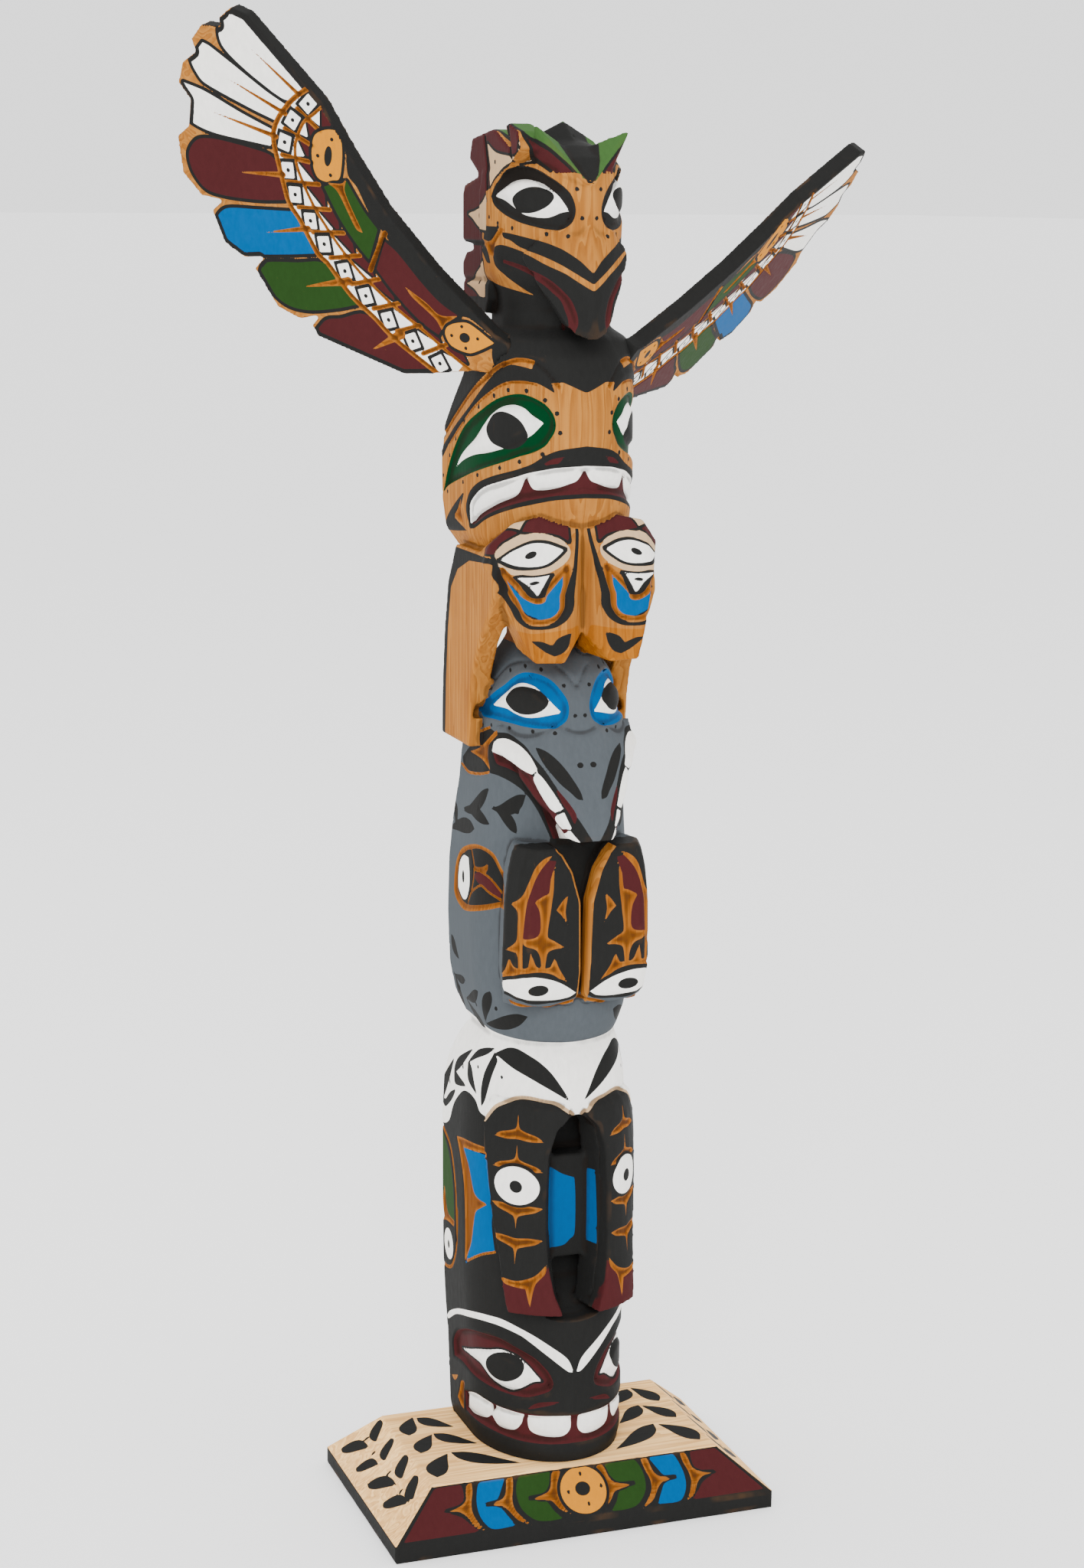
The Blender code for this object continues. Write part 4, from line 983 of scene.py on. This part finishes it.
def crest_and_crown():
    """Maroon crest tufts edged in cream, the black crown and the green ear feathers."""
    form, groove = canvas.form, canvas.groove
    flank = (pole_z > 440) & (pole_y > -28) & ((np.abs(pole_normal[:, 0]) > 0.45) | (pole_y > 12))
    crest = flank & ((pole_z > 480) | (pole_y > 5.0))
    canvas.view(pole_y, pole_z, crest & (pole_z > 443))
    form("maroon", [(-30, 507), (60, 507), (60, 438), (10.5, 438), (10, 470), (4, 480), (-3, 486),
            (-10, 489), (-20, 491.5), (-27, 492)], edge=0.9, smooth=False)
    form("cream", [(7, 496), (1, 493.6), (-4.4, 492.4), (-16.5, 491.4), (-21.5, 491.2), (-24.5, 492.8),
            (-26.4, 498.4), (-30.5, 492.8), (-33.2, 485.8), (-35, 480.2), (-29, 487.6), (-24.6, 489.8),
            (-19, 489.6), (-10, 487.8), (-2.7, 484.8), (1.2, 481.4)], edge=1.0)
    canvas.dots(0.85, [(-26, 494), (-1, 489.6)])
    form("cream", [(29, 472), (20.4, 473), (9.8, 475.6), (3.6, 479.5), (2.6, 474), (5.2, 466.4),
            (16, 467.4), (23.3, 470.3)], edge=1.0)
    canvas.dots(0.95, [(15.8, 471.3)])
    form("cream", [(29.5, 447.6), (23, 449.4), (17.5, 452.2), (9.6, 456), (9.4, 450), (9.6, 441),
            (15, 443.4), (20.3, 445.6), (24.6, 446.7)], edge=1.0)
    canvas.dots(0.85, [(16.6, 448.4)])
    for start, end in (((4, 480), (10, 498)), ((8, 462), (40, 462)), ((-18, 491), (-14, 502))):
        groove("black", [start, end], 1.9, 0.9)
    top = ((pole_z > 478.5) & (pole_y < 9) & (np.abs(pole_x) < 21)
           & ((pole_normal[:, 2] > 0.25) | (pole_z > 486)))
    canvas.view(np.abs(pole_x), pole_z, top)
    form("maroon", [(-1, 479), (3.4, 479.6), (10.6, 486.4), (17, 493.6), (22, 503), (-1, 503)], edge=1.1,
         smooth=False)
    form("leaf", [(-1, 481.4), (1.4, 482.6), (6.8, 488.4), (12.6, 493.8), (19, 499), (22, 504), (-1, 504)],
         edge=1.0, smooth=False)
    form("black", [(-1, 480.6), (0.8, 482), (3.6, 486), (5.6, 490), (7.4, 495), (8.6, 503), (-1, 503)],
         smooth=False)


ground("grey", 180.2, 330)
on_trunk()
fifth_figure()
fourth_figure()
third_figure()
second_figure()
top_head()
crest_and_crown()
canvas.carve()
split(pole, "pole", 4, "pole", painted_wood("pole_paint", POLE_COLOURS, 2, 0.05))


# A point on a wing is a place (mm) along and up its board from the shoulder. Each plane holds an
# origin, the direction along the wing and the direction up it.
WING_COLOURS = ["wood", "black", "white", "maroon", "blue", "green", "cut", "ochre", "tip"]
WING_PLANES = {
    "left": ((-33.0, -1.0, 431.0), (-0.696, 0.687, 0.233), (-0.053, -0.369, 0.933)),
    "right": ((33.0, -1.0, 425.0), (0.605, 0.796, -0.045), (0.494, -0.325, 0.807)),
}
FEATHERS = [
    ("white", [(91.5, 97.2), (96, 93), (101, 88.5), (100.4, 82), (95.6, 77.6), (84.3, 71.6), (72.2, 67.6),
        (64.4, 74), (74, 82)]),
    ("white", [(107.6, 80), (112.5, 73), (110.8, 69.9), (106.6, 66), (88, 61.4), (77.4, 59.4), (73.2, 65.8),
        (82, 69), (95.5, 75.2), (105, 79.4)]),
    ("white", [(115.2, 64), (116.2, 56), (113.8, 51.8), (108, 49.6), (100, 48.9), (79, 49.8), (77.8, 55.6),
        (91.7, 58.8), (106.5, 62.9)]),
    ("maroon", [(107.9, 45.4), (111, 42.6), (112.6, 38.4), (111, 33), (107, 28.6), (103, 27), (95, 27.2),
        (83, 29), (72.5, 31.6), (75, 40), (78, 46), (86, 47), (101, 46.8)]),
    ("blue", [(96, 22.6), (100, 18.4), (99.2, 14), (93, 8.8), (85.6, 8.2), (71, 11.8), (59.4, 15.2),
        (63, 21.6), (68.6, 28.4), (82.8, 25.5)]),
    ("green", [(79.2, 6.6), (81.4, 2.8), (79.8, -1.4), (71, -6.8), (61.5, -6.8), (50, -3), (41.6, 0.8),
        (46.8, 6), (55.4, 12.6), (66.4, 10)]),
    ("maroon", [(53.5, -8.2), (57.2, -13), (55, -15.8), (35.5, -22.4), (17, -27), (5.8, -17.4), (15, -12.7),
        (27.4, -6.6), (38, -1.8), (47.6, -6)]),
]


def wing_front(canvas):
    """Feathers, white squares, ochre joints, and the green and maroon split forms of a wing."""
    form, groove, wedge = canvas.form, canvas.groove, canvas.wedge
    for colour, outline in FEATHERS:
        form(colour, outline, edge=1.3)
        who, near, inside, _ = canvas.measure(curve(canvas.line(outline)), True, REACH)
        canvas.paint("black", who, np.where(inside, 1.9 - canvas.rim[who], -near))
    outer = [(62, 76), (68.3, 70.9), (72, 67), (76.2, 60.7), (78, 55.3), (77.9, 51.4), (76.6, 47.3),
            (73.1, 36.7), (70.6, 30.8), (66.5, 26.3), (58.4, 15.4), (54.2, 12.9), (44.2, 3.6), (34.4, -2.1),
            (27.5, -6.9), (18.3, -11.3), (3, -18)]
    inner = [(57, 71), (62.1, 65.4), (65.8, 61.8), (68, 57), (69.2, 52), (68.4, 46), (65.4, 39.6),
            (60.4, 31.9), (54, 24.6), (48, 18.7), (40.9, 12.9), (33, 7.8), (24.8, 3.2), (14, -1.8), (4, -7),
            (-7, -12)]
    root = [(52, 66), (57, 61.5), (61, 57), (62, 51), (60.6, 45.7), (58.2, 40.5), (52.8, 30.9),
            (44.6, 21.9), (37.6, 16.2), (29.5, 9.7), (19.2, 3.3), (7.9, -2.8), (-3.8, -6.7)]
    form("white", outer + root[::-1])
    squares = np.array([(64.6, 68.3), (70.5, 61.1), (73.4, 52.5), (71.6, 42.8), (68.4, 34.7), (61.8, 26.7),
            (55.9, 19.6), (47.1, 11.9), (38.2, 5), (28.6, -1.4), (18.5, -6.6), (7.2, -11.9)])
    cells = np.array([(59.5, 64.4), (64.2, 58), (66, 51.4), (64.3, 44.2), (60.6, 36), (54.7, 28.2),
            (48.5, 21.6), (40.5, 14.7), (31.9, 8), (22.4, 1.6), (12.8, -3.2), (2.1, -8.1)])
    for k, (square, cell) in enumerate(zip(squares, cells)):
        n = (cell - square) / np.linalg.norm(cell - square)
        t = np.array([-n[1], n[0]])
        corners = ((-3.0, -4.4), (4.4, -4.4), (4.2, 4.0))
        form("maroon", [cell + n * p + t * q for p, q in corners], edge=0.9, smooth=False)
        if k:
            gap, far = (square + squares[k - 1]) / 2, (cell + cells[k - 1]) / 2
            groove("cut", [gap - (far - gap) * 0.25, gap, far, far + (far - gap) * 0.45], 1.7, 0.6)
        for colour, wide, tall in (("black", 3.5, 4.1), ("white", 2.35, 2.85)):
            form(colour, [square + n * p + t * q for p, q in ((-wide, -tall), (wide, -tall), (wide, tall),
                                                              (-wide, tall))], smooth=False)
        canvas.dots(0.77, [square])
    groove("cut", outer, 1.9, 0.7)
    groove("cut", inner, 1.2, 0.5)
    for tip, root, width in (((88, 82.1), (68.5, 70.6), 1.6), ((97.6, 69.7), (73.6, 62.6), 1.7),
                             ((102.9, 56.2), (77, 53.6), 1.9), ((92, 37), (73.6, 40.6), 2.2),
                             ((79.5, 17.8), (62.6, 23.6), 2.2), ((62.4, 2), (45.4, 8.6), 3.2),
                             ((34, -14), (23.4, -5.4), 3.6)):
        wedge(tip, root, width, 0.8)
    wing_shoulder(canvas)


def wing_shoulder(canvas):
    """The split forms and ochre joints between the squares and the leading edge."""
    form, groove, oval = canvas.form, canvas.groove, canvas.oval
    form("ochre", [(61.2, 58.3), (56.4, 61.2), (51.8, 61.6), (50.4, 56), (50.3, 49.2), (51.2, 44.6),
            (55, 42.6), (59.6, 43.2), (61.8, 47.6), (62.4, 53.3)], edge=1.2)
    oval("black", (55.8, 51.8), 3.0, 7.4, 4)
    canvas.dots(0.70, [(54.7, 58), (60, 50.9), (54.6, 45.2)])
    form("green", [(57, 40.5), (53.5, 42.4), (50, 43.4), (48, 44.8), (40.5, 35.7), (34.8, 30.6),
            (37.6, 18.6), (42.6, 22.8), (50, 30.5)], edge=1.2)
    form("cut", [(55.6, 42.3), (50.1, 43.3), (48.2, 45.6), (48.6, 40.7), (40.6, 27.6), (43.5, 28.6),
                 (51.4, 40)], sink=0.5)
    groove("cut", [(32, 29.8), (34.7, 22), (37, 15)], 2.0, 0.7)
    form("maroon", [(31.8, 27), (26.6, 24.2), (16.6, 16), (8.7, 10.6), (1, 7.6), (6, 5), (7.3, 1.4),
            (8.4, -1.4), (16, 1.7), (26.4, 8.8), (34.5, 16)], edge=1.2)
    form("cut", [(22.8, 12.6), (14.1, 9), (8.5, 6), (1.6, 7.5), (5.8, 3.4), (7, 0.2), (10.2, 4.1),
            (19.8, 9.6)], sink=0.5)
    form("ochre", [(5.4, 2.4), (1.9, 4.9), (-3.2, 6), (-13.4, 1.6), (-7.6, -2.8), (-3.7, -4.8), (3, -4),
            (5.8, -0.6)], edge=1.2)
    oval("black", (-1.8, 0.4), 4.2, 3.6, -20)
    canvas.dots(0.65, [(-0.3, 4.1), (3.4, -0.2), (-6.8, 1.3), (-2.5, -3.4)])


# The black band's inner edge along the top of the board, closed far outside it.
LEADING = [(120, 120), (93.6, 96.9), (75, 82), (57.4, 67.4), (49.4, 60.2), (48.6, 53), (47.6, 47),
        (43.8, 43.5), (38.5, 35.6), (32, 29.6), (30, 27.6), (17.3, 17.4), (8.8, 12), (4, 7.4), (-3, 8),
        (-13, 3.4), (-13, -4), (-18, -14), (-60, -14), (-60, 60), (40, 130)]


FAR_FROM_RIM = 9.0


def wing(side):
    """One wing board: painted front, bare back with a black leading edge."""
    skin = Skin("wing_" + side, WING_VOXEL, WING_ROUNDS)
    origin, along, up = (np.array(v) for v in WING_PLANES[side])
    along = along / np.linalg.norm(along)
    up = up - up.dot(along) * along
    up /= np.linalg.norm(up)
    out = np.cross(along, up)
    if out[1] > 0:
        out = -out
    rel = skin.co - origin
    u, v = rel @ along, rel @ up
    board = Canvas(skin, WING_COLOURS, "wood")
    facing = skin.normals() @ out
    flat = np.stack([u, v, np.zeros(len(u))], 1)
    front, wall = facing > 0.5, np.abs(facing) < 0.5
    walls = KDTree(int(wall.sum()))
    for k, place in enumerate(flat[wall]):
        walls.insert(place, k)
    walls.balance()
    board.rim = np.full(len(u), FAR_FROM_RIM)
    for k in np.flatnonzero(front):
        board.rim[k] = walls.find(flat[k])[2]
    board.view(u, v, front)
    wing_front(board)
    board.view(u, v, facing > -0.4)
    board.form("black", LEADING)
    rim = np.flatnonzero((skin.normals() @ (up * 0.75 - along * 0.65) > 0.5) & (np.abs(facing) < 0.85))
    board.paint("black", rim, np.full(len(rim), REACH))
    board.view(u, v, front)
    wing_shoulder(board)
    board.view(u, v, facing < 0.2)
    board.form("black", [(a + 2.4, b - 1.6) if a < 110 and a > -20 else (a, b) for a, b in LEADING])
    board.carve()
    split(skin, "wing_" + side, 1, "wing_" + side, painted_wood("wing_paint_" + side, WING_COLOURS, 0, 0.08))


wing("left")
wing("right")


# Plinth: half sizes and heights (mm) of the bevelled block, its mesh's vertices and its rows of
# faces on the rim and on the bevels.
BASE_HALF_X, BASE_HALF_Y, BASE_TOP, BASE_RIM = 73.1, 46.15, 21.9, 6.3
BEVEL_X, BEVEL_Y = 18.0, 13.4
EDGE_WEAR = 0.45
RIM_ROWS, BEVEL_ROWS = 8, 20
CELLS = {"Vertices X": 181, "Vertices Y": 115, "Vertices Z": RIM_ROWS + BEVEL_ROWS + 1}
BASE_COLOURS = ["pale", "black", "maroon", "blue", "green", "ochre", "cut"]


def plinth_nodes():
    """A gridded cube shaped by the plinth's rule: an upright rim, sloping bevels, worn edges."""
    tree = bpy.data.node_groups.new("plinth", "GeometryNodeTree")
    face = tree.interface
    face.new_socket("Geometry", in_out="OUTPUT", socket_type="NodeSocketGeometry")
    wanted = {"Half X": BASE_HALF_X * MM, "Half Y": BASE_HALF_Y * MM, "Top": BASE_TOP * MM,
              "Rim": BASE_RIM * MM, "Bevel X": BEVEL_X * MM, "Bevel Y": BEVEL_Y * MM,
              "Edge wear": EDGE_WEAR * MM}
    keys = {}
    for label in wanted:
        keys[label] = face.new_socket(label, in_out="INPUT", socket_type="NodeSocketFloat").identifier
    keys["Material"] = face.new_socket("Material", in_out="INPUT",
                                       socket_type="NodeSocketMaterial").identifier
    S.tree = tree
    given = tree.nodes.new("NodeGroupInput")
    size = {label: S(given.outputs[label]) for label in wanted}
    cube = tree.nodes.new("GeometryNodeMeshCube")
    for key, count in CELLS.items():
        cube.inputs[key].default_value = count
    cube.inputs["Size"].default_value = (2.0, 2.0, 2.0)
    where = S.node("GeometryNodeInputPosition")
    split_xyz = tree.nodes.new("ShaderNodeSeparateXYZ")
    tree.links.new(where.socket, split_xyz.inputs[0])
    px, py, pz = (S(split_xyz.outputs[k]) for k in range(3))
    row = (pz + 1.0) * ((RIM_ROWS + BEVEL_ROWS) / 2)
    rise = row.math("MINIMUM", RIM_ROWS) * (1 / RIM_ROWS)
    slope = (row - RIM_ROWS).math("MAXIMUM", 0.0) * (1 / BEVEL_ROWS)
    height = rise * size["Rim"] + slope * (size["Top"] - size["Rim"])
    lean = noise(where, 3.0, 2.0) - 0.5
    corner = (px.math("ABSOLUTE").ramp(0.985, 1.0) + py.math("ABSOLUTE").ramp(0.975, 1.0)
              + pz.math("ABSOLUTE").ramp(0.96, 1.0))
    worn = (corner - 1.0).ramp(0.0, 1.0) * size["Edge wear"] * (0.7 + lean)
    half_x = size["Half X"] - size["Bevel X"] * slope - worn
    half_y = size["Half Y"] - size["Bevel Y"] * slope - worn
    place = S.node("ShaderNodeCombineXYZ", 0, {0: px * half_x, 1: py * half_y, 2: height})
    moved = tree.nodes.new("GeometryNodeSetPosition")
    tree.links.new(cube.outputs["Mesh"], moved.inputs["Geometry"])
    tree.links.new(place.socket, moved.inputs["Position"])
    real = tree.nodes.new("GeometryNodeRealizeInstances")
    coat = tree.nodes.new("GeometryNodeSetMaterial")
    last = tree.nodes.new("NodeGroupOutput")
    tree.links.new(moved.outputs[0], real.inputs[0])
    tree.links.new(real.outputs[0], coat.inputs["Geometry"])
    tree.links.new(given.outputs["Material"], coat.inputs["Material"])
    tree.links.new(coat.outputs[0], last.inputs[0])
    return tree, keys, wanted


class Block(Skin):
    """The plinth's dense mesh, made by its node group."""

    def __init__(self, material):
        tree, keys, wanted = plinth_nodes()
        seed = bpy.data.meshes.new("plinth_seed")
        seed.from_pydata([(0, 0, 0)], [], [])
        self.obj = add_object("plinth_build", seed)
        step = self.obj.modifiers.new("plinth", "NODES")
        step.node_group = tree
        for label, value in wanted.items():
            step[keys[label]] = value
        step[keys["Material"]] = material
        mesh = self.built()
        merge_doubles(mesh)
        self.take(mesh)


def front_forms(form):
    """One half of the formline row on the front bevel: split forms beside the ochre ovoid."""
    form("black", [(-74, 4), (74, 4), (54.6, 22.2), (-54.6, 22.2)], smooth=False)
    form("maroon", [(53.4, 21.6), (44.8, 21.4), (44.4, 19), (45.4, 15.8), (50, 14.6), (53.6, 14.3),
            (47, 12), (43.8, 9.4), (40, 7.4), (70, 7.4), (62, 14.6)])
    form("cut", [(40.6, 21.6), (41, 18.5), (42.2, 15.7), (42.5, 12.8), (41, 9.7), (38.8, 7.2), (42.4, 9),
            (44.8, 12), (47.4, 13.6), (52.2, 14.3), (47, 14.9), (44.1, 16.4), (43.4, 18.8), (42.4, 21.4)],
            edge=0.6, sink=0.6)
    form("blue", [(27.7, 21.4), (31, 17), (32.6, 15.3), (37.2, 14.6), (32.2, 13.2), (29.6, 10.3),
            (27.6, 7.6), (36.3, 7.6), (39.6, 10.6), (40.4, 14.6), (39, 19.2), (37, 21.4)], edge=1.2)
    form("cut", [(24.8, 21.6), (25.6, 17.9), (26.8, 15.1), (26.6, 12.1), (24.2, 9.3), (21.2, 6.9),
            (26.2, 9), (29.2, 12.2), (31.4, 13.6), (36.8, 14.5), (31, 15.2), (28.8, 16.8), (27.4, 21.2)],
            edge=0.6, sink=0.6)
    form("green", [(9.4, 21.4), (11.2, 18.3), (14.1, 15.6), (20.3, 14.6), (14.4, 13), (12, 9.9), (9.3, 7.6),
            (14.9, 7.5), (20, 8.4), (24, 11.8), (24.9, 15.9), (23.6, 19.7), (21.3, 21.4)], edge=1.2)
    form("cut", [(6.2, 21.6), (8, 18), (8.7, 14.6), (8.1, 11), (5.4, 8.2), (9.5, 10.1), (12.1, 12.8),
            (14.6, 13.4), (20.4, 14.5), (14.2, 15), (11.7, 16.5), (9.6, 21)], edge=0.6, sink=0.6)


def base():
    """The plinth: painted front bevel and rim, brushed leaves on the top and the side bevels."""
    material = painted_wood("base_paint", BASE_COLOURS, 0, 0.1)
    block = Block(material)
    board = Canvas(block, BASE_COLOURS, "pale")
    x, y, z = block.co.T
    normal = block.normals()
    top = z > BASE_TOP - 0.3
    board.view(x, z, (z < BASE_RIM + 0.4) | (np.abs(normal[:, 2]) < 0.3))
    board.form("black", [(-90, -5), (90, -5), (90, BASE_RIM + 0.2), (-90, BASE_RIM + 0.2)], smooth=False)
    long_face = (np.abs(normal[:, 1]) > 0.35) & (z > BASE_RIM - 1.5)
    board.view(np.abs(x), z, long_face & (y < 0))
    front_forms(board.form)
    board.view(x, z, long_face & (y < 0))
    board.oval("ochre", (0.6, 14.6), 17.6, 13.4, edge=1.2)
    board.oval("black", (0.4, 15), 5.8, 4.0)
    for ends in ([(-56, 21.9), (56, 21.9)], [(73.5, 5.5), (55.1, 21.9)], [(-73.5, 5.5), (-55.1, 21.9)]):
        board.groove("black", ends, 1.9)
    board.dots(0.65, [(0.7, 19.2), (7.6, 15.1), (-5.2, 14.6), (1.5, 10.6)])
    board.view(x, y, top)
    for start, end, belly, bend in (
            ((50.5, 11.5), (44.2, 27.5), 6.8, -1.0), ((43, 26.5), (31.8, 13.6), 6.8, 1.0),
            ((51, -5), (42, 10), 6.8, -1.0), ((41.4, 10.6), (28, -3.6), 6.8, 1.2),
            ((51.6, -27), (41.6, -8.2), 8.2, -1.6), ((40.4, -7.6), (18.4, -25), 8.2, 1.6)):
        for side in (-1, 1):
            board.leaf((side * start[0], start[1]), (side * end[0], end[1]), belly, bend * side)
    sides = (np.abs(normal[:, 0]) > 0.35) & (z > BASE_RIM)
    board.view(y, z, sides)
    for start, end, belly, bend in (
            ((31.8, 20.8), (20.6, 17), 4.5, 0.6), ((36.8, 9), (21.2, 14.9), 4.3, -0.5),
            ((14.8, 20.4), (5.2, 16), 4.5, 0.6), ((17.4, 9.3), (6.8, 14.3), 4.3, -0.5),
            ((-1.6, 20.7), (-13.7, 16.8), 4.5, 0.6), ((2.6, 9.4), (-14, 15), 4.3, -0.5),
            ((-17.8, 19.7), (-30.4, 16), 4.3, 0.6), ((-16, 9.7), (-29.8, 14.9), 4.3, -0.5)):
        board.leaf(start, end, belly, bend)
    board.dots(0.75, [(28, 15.4), (16, 14.9), (-3.3, 15.2), (-19.2, 15)])
    board.carve(0)
    split(block, "base", 1, "base", material)


base()


# Lights: name, place, power (W) and size (m).
LIGHTS = [("key", (-0.7, -1.6, 1.3), 26.0, 0.8), ("fill", (1.5, -1.2, 0.8), 3.0, 1.4),
          ("top", (0.1, 0.3, 2.0), 9.0, 1.6), ("rim", (-1.4, 0.9, 0.8), 4.0, 1.0)]
LIT_POINT = Vector((0, 0, 0.25))
WORLD_STRENGTH = 1.75
WHITE = (1, 1, 1, 1)
FLOOR_CORNERS = [(-30, -6, 0), (30, -6, 0), (30, 60, 0), (-30, 60, 0)]
FLOOR_LOOK = {"Base Color": (0.93, 0.93, 0.93, 1), "Emission Color": WHITE, "Emission Strength": 0.3,
              "Roughness": 0.8}
# The photograph's camera: place (m), turns (degrees), lens and sensor height (mm).
CAMERA_PLACE = (-0.3539, -0.9853, 0.4798)
CAMERA_TURNS = (90 - 11.32, -0.32, -19.53)
LENS, SENSOR_HEIGHT = 45.32, 24


def stage_floor():
    mesh = bpy.data.meshes.new("floor")
    mesh.from_pydata(FLOOR_CORNERS, [], [(0, 1, 2, 3)])
    plain = bpy.data.materials.new("floor")
    plain.use_nodes = True
    for key, value in FLOOR_LOOK.items():
        plain.node_tree.nodes["Principled BSDF"].inputs[key].default_value = value
    mesh.materials.append(plain)
    floor = add_object("floor", mesh)


def stage_lights():
    for name, place, power, size in LIGHTS:
        data = bpy.data.lights.new(name, "AREA")
        data.energy = power
        data.size = size
        lamp = add_object(name, data)
        lamp.location = place
        lamp.rotation_euler = (Vector(place) - LIT_POINT).to_track_quat("Z", "Y").to_euler()
    world = bpy.data.worlds.new("studio")
    world.use_nodes = True
    light = world.node_tree.nodes["Background"]
    light.inputs["Color"].default_value = WHITE
    light.inputs["Strength"].default_value = WORLD_STRENGTH
    bpy.context.scene.world = world


def stage_camera():
    data = bpy.data.cameras.new("camera")
    data.sensor_fit = "VERTICAL"
    data.sensor_height = SENSOR_HEIGHT
    data.lens = LENS
    camera = add_object("camera", data)
    camera.location = CAMERA_PLACE
    camera.rotation_euler = [math.radians(turn) for turn in CAMERA_TURNS]
    bpy.context.scene.camera = camera


stage_floor()
stage_lights()
stage_camera()
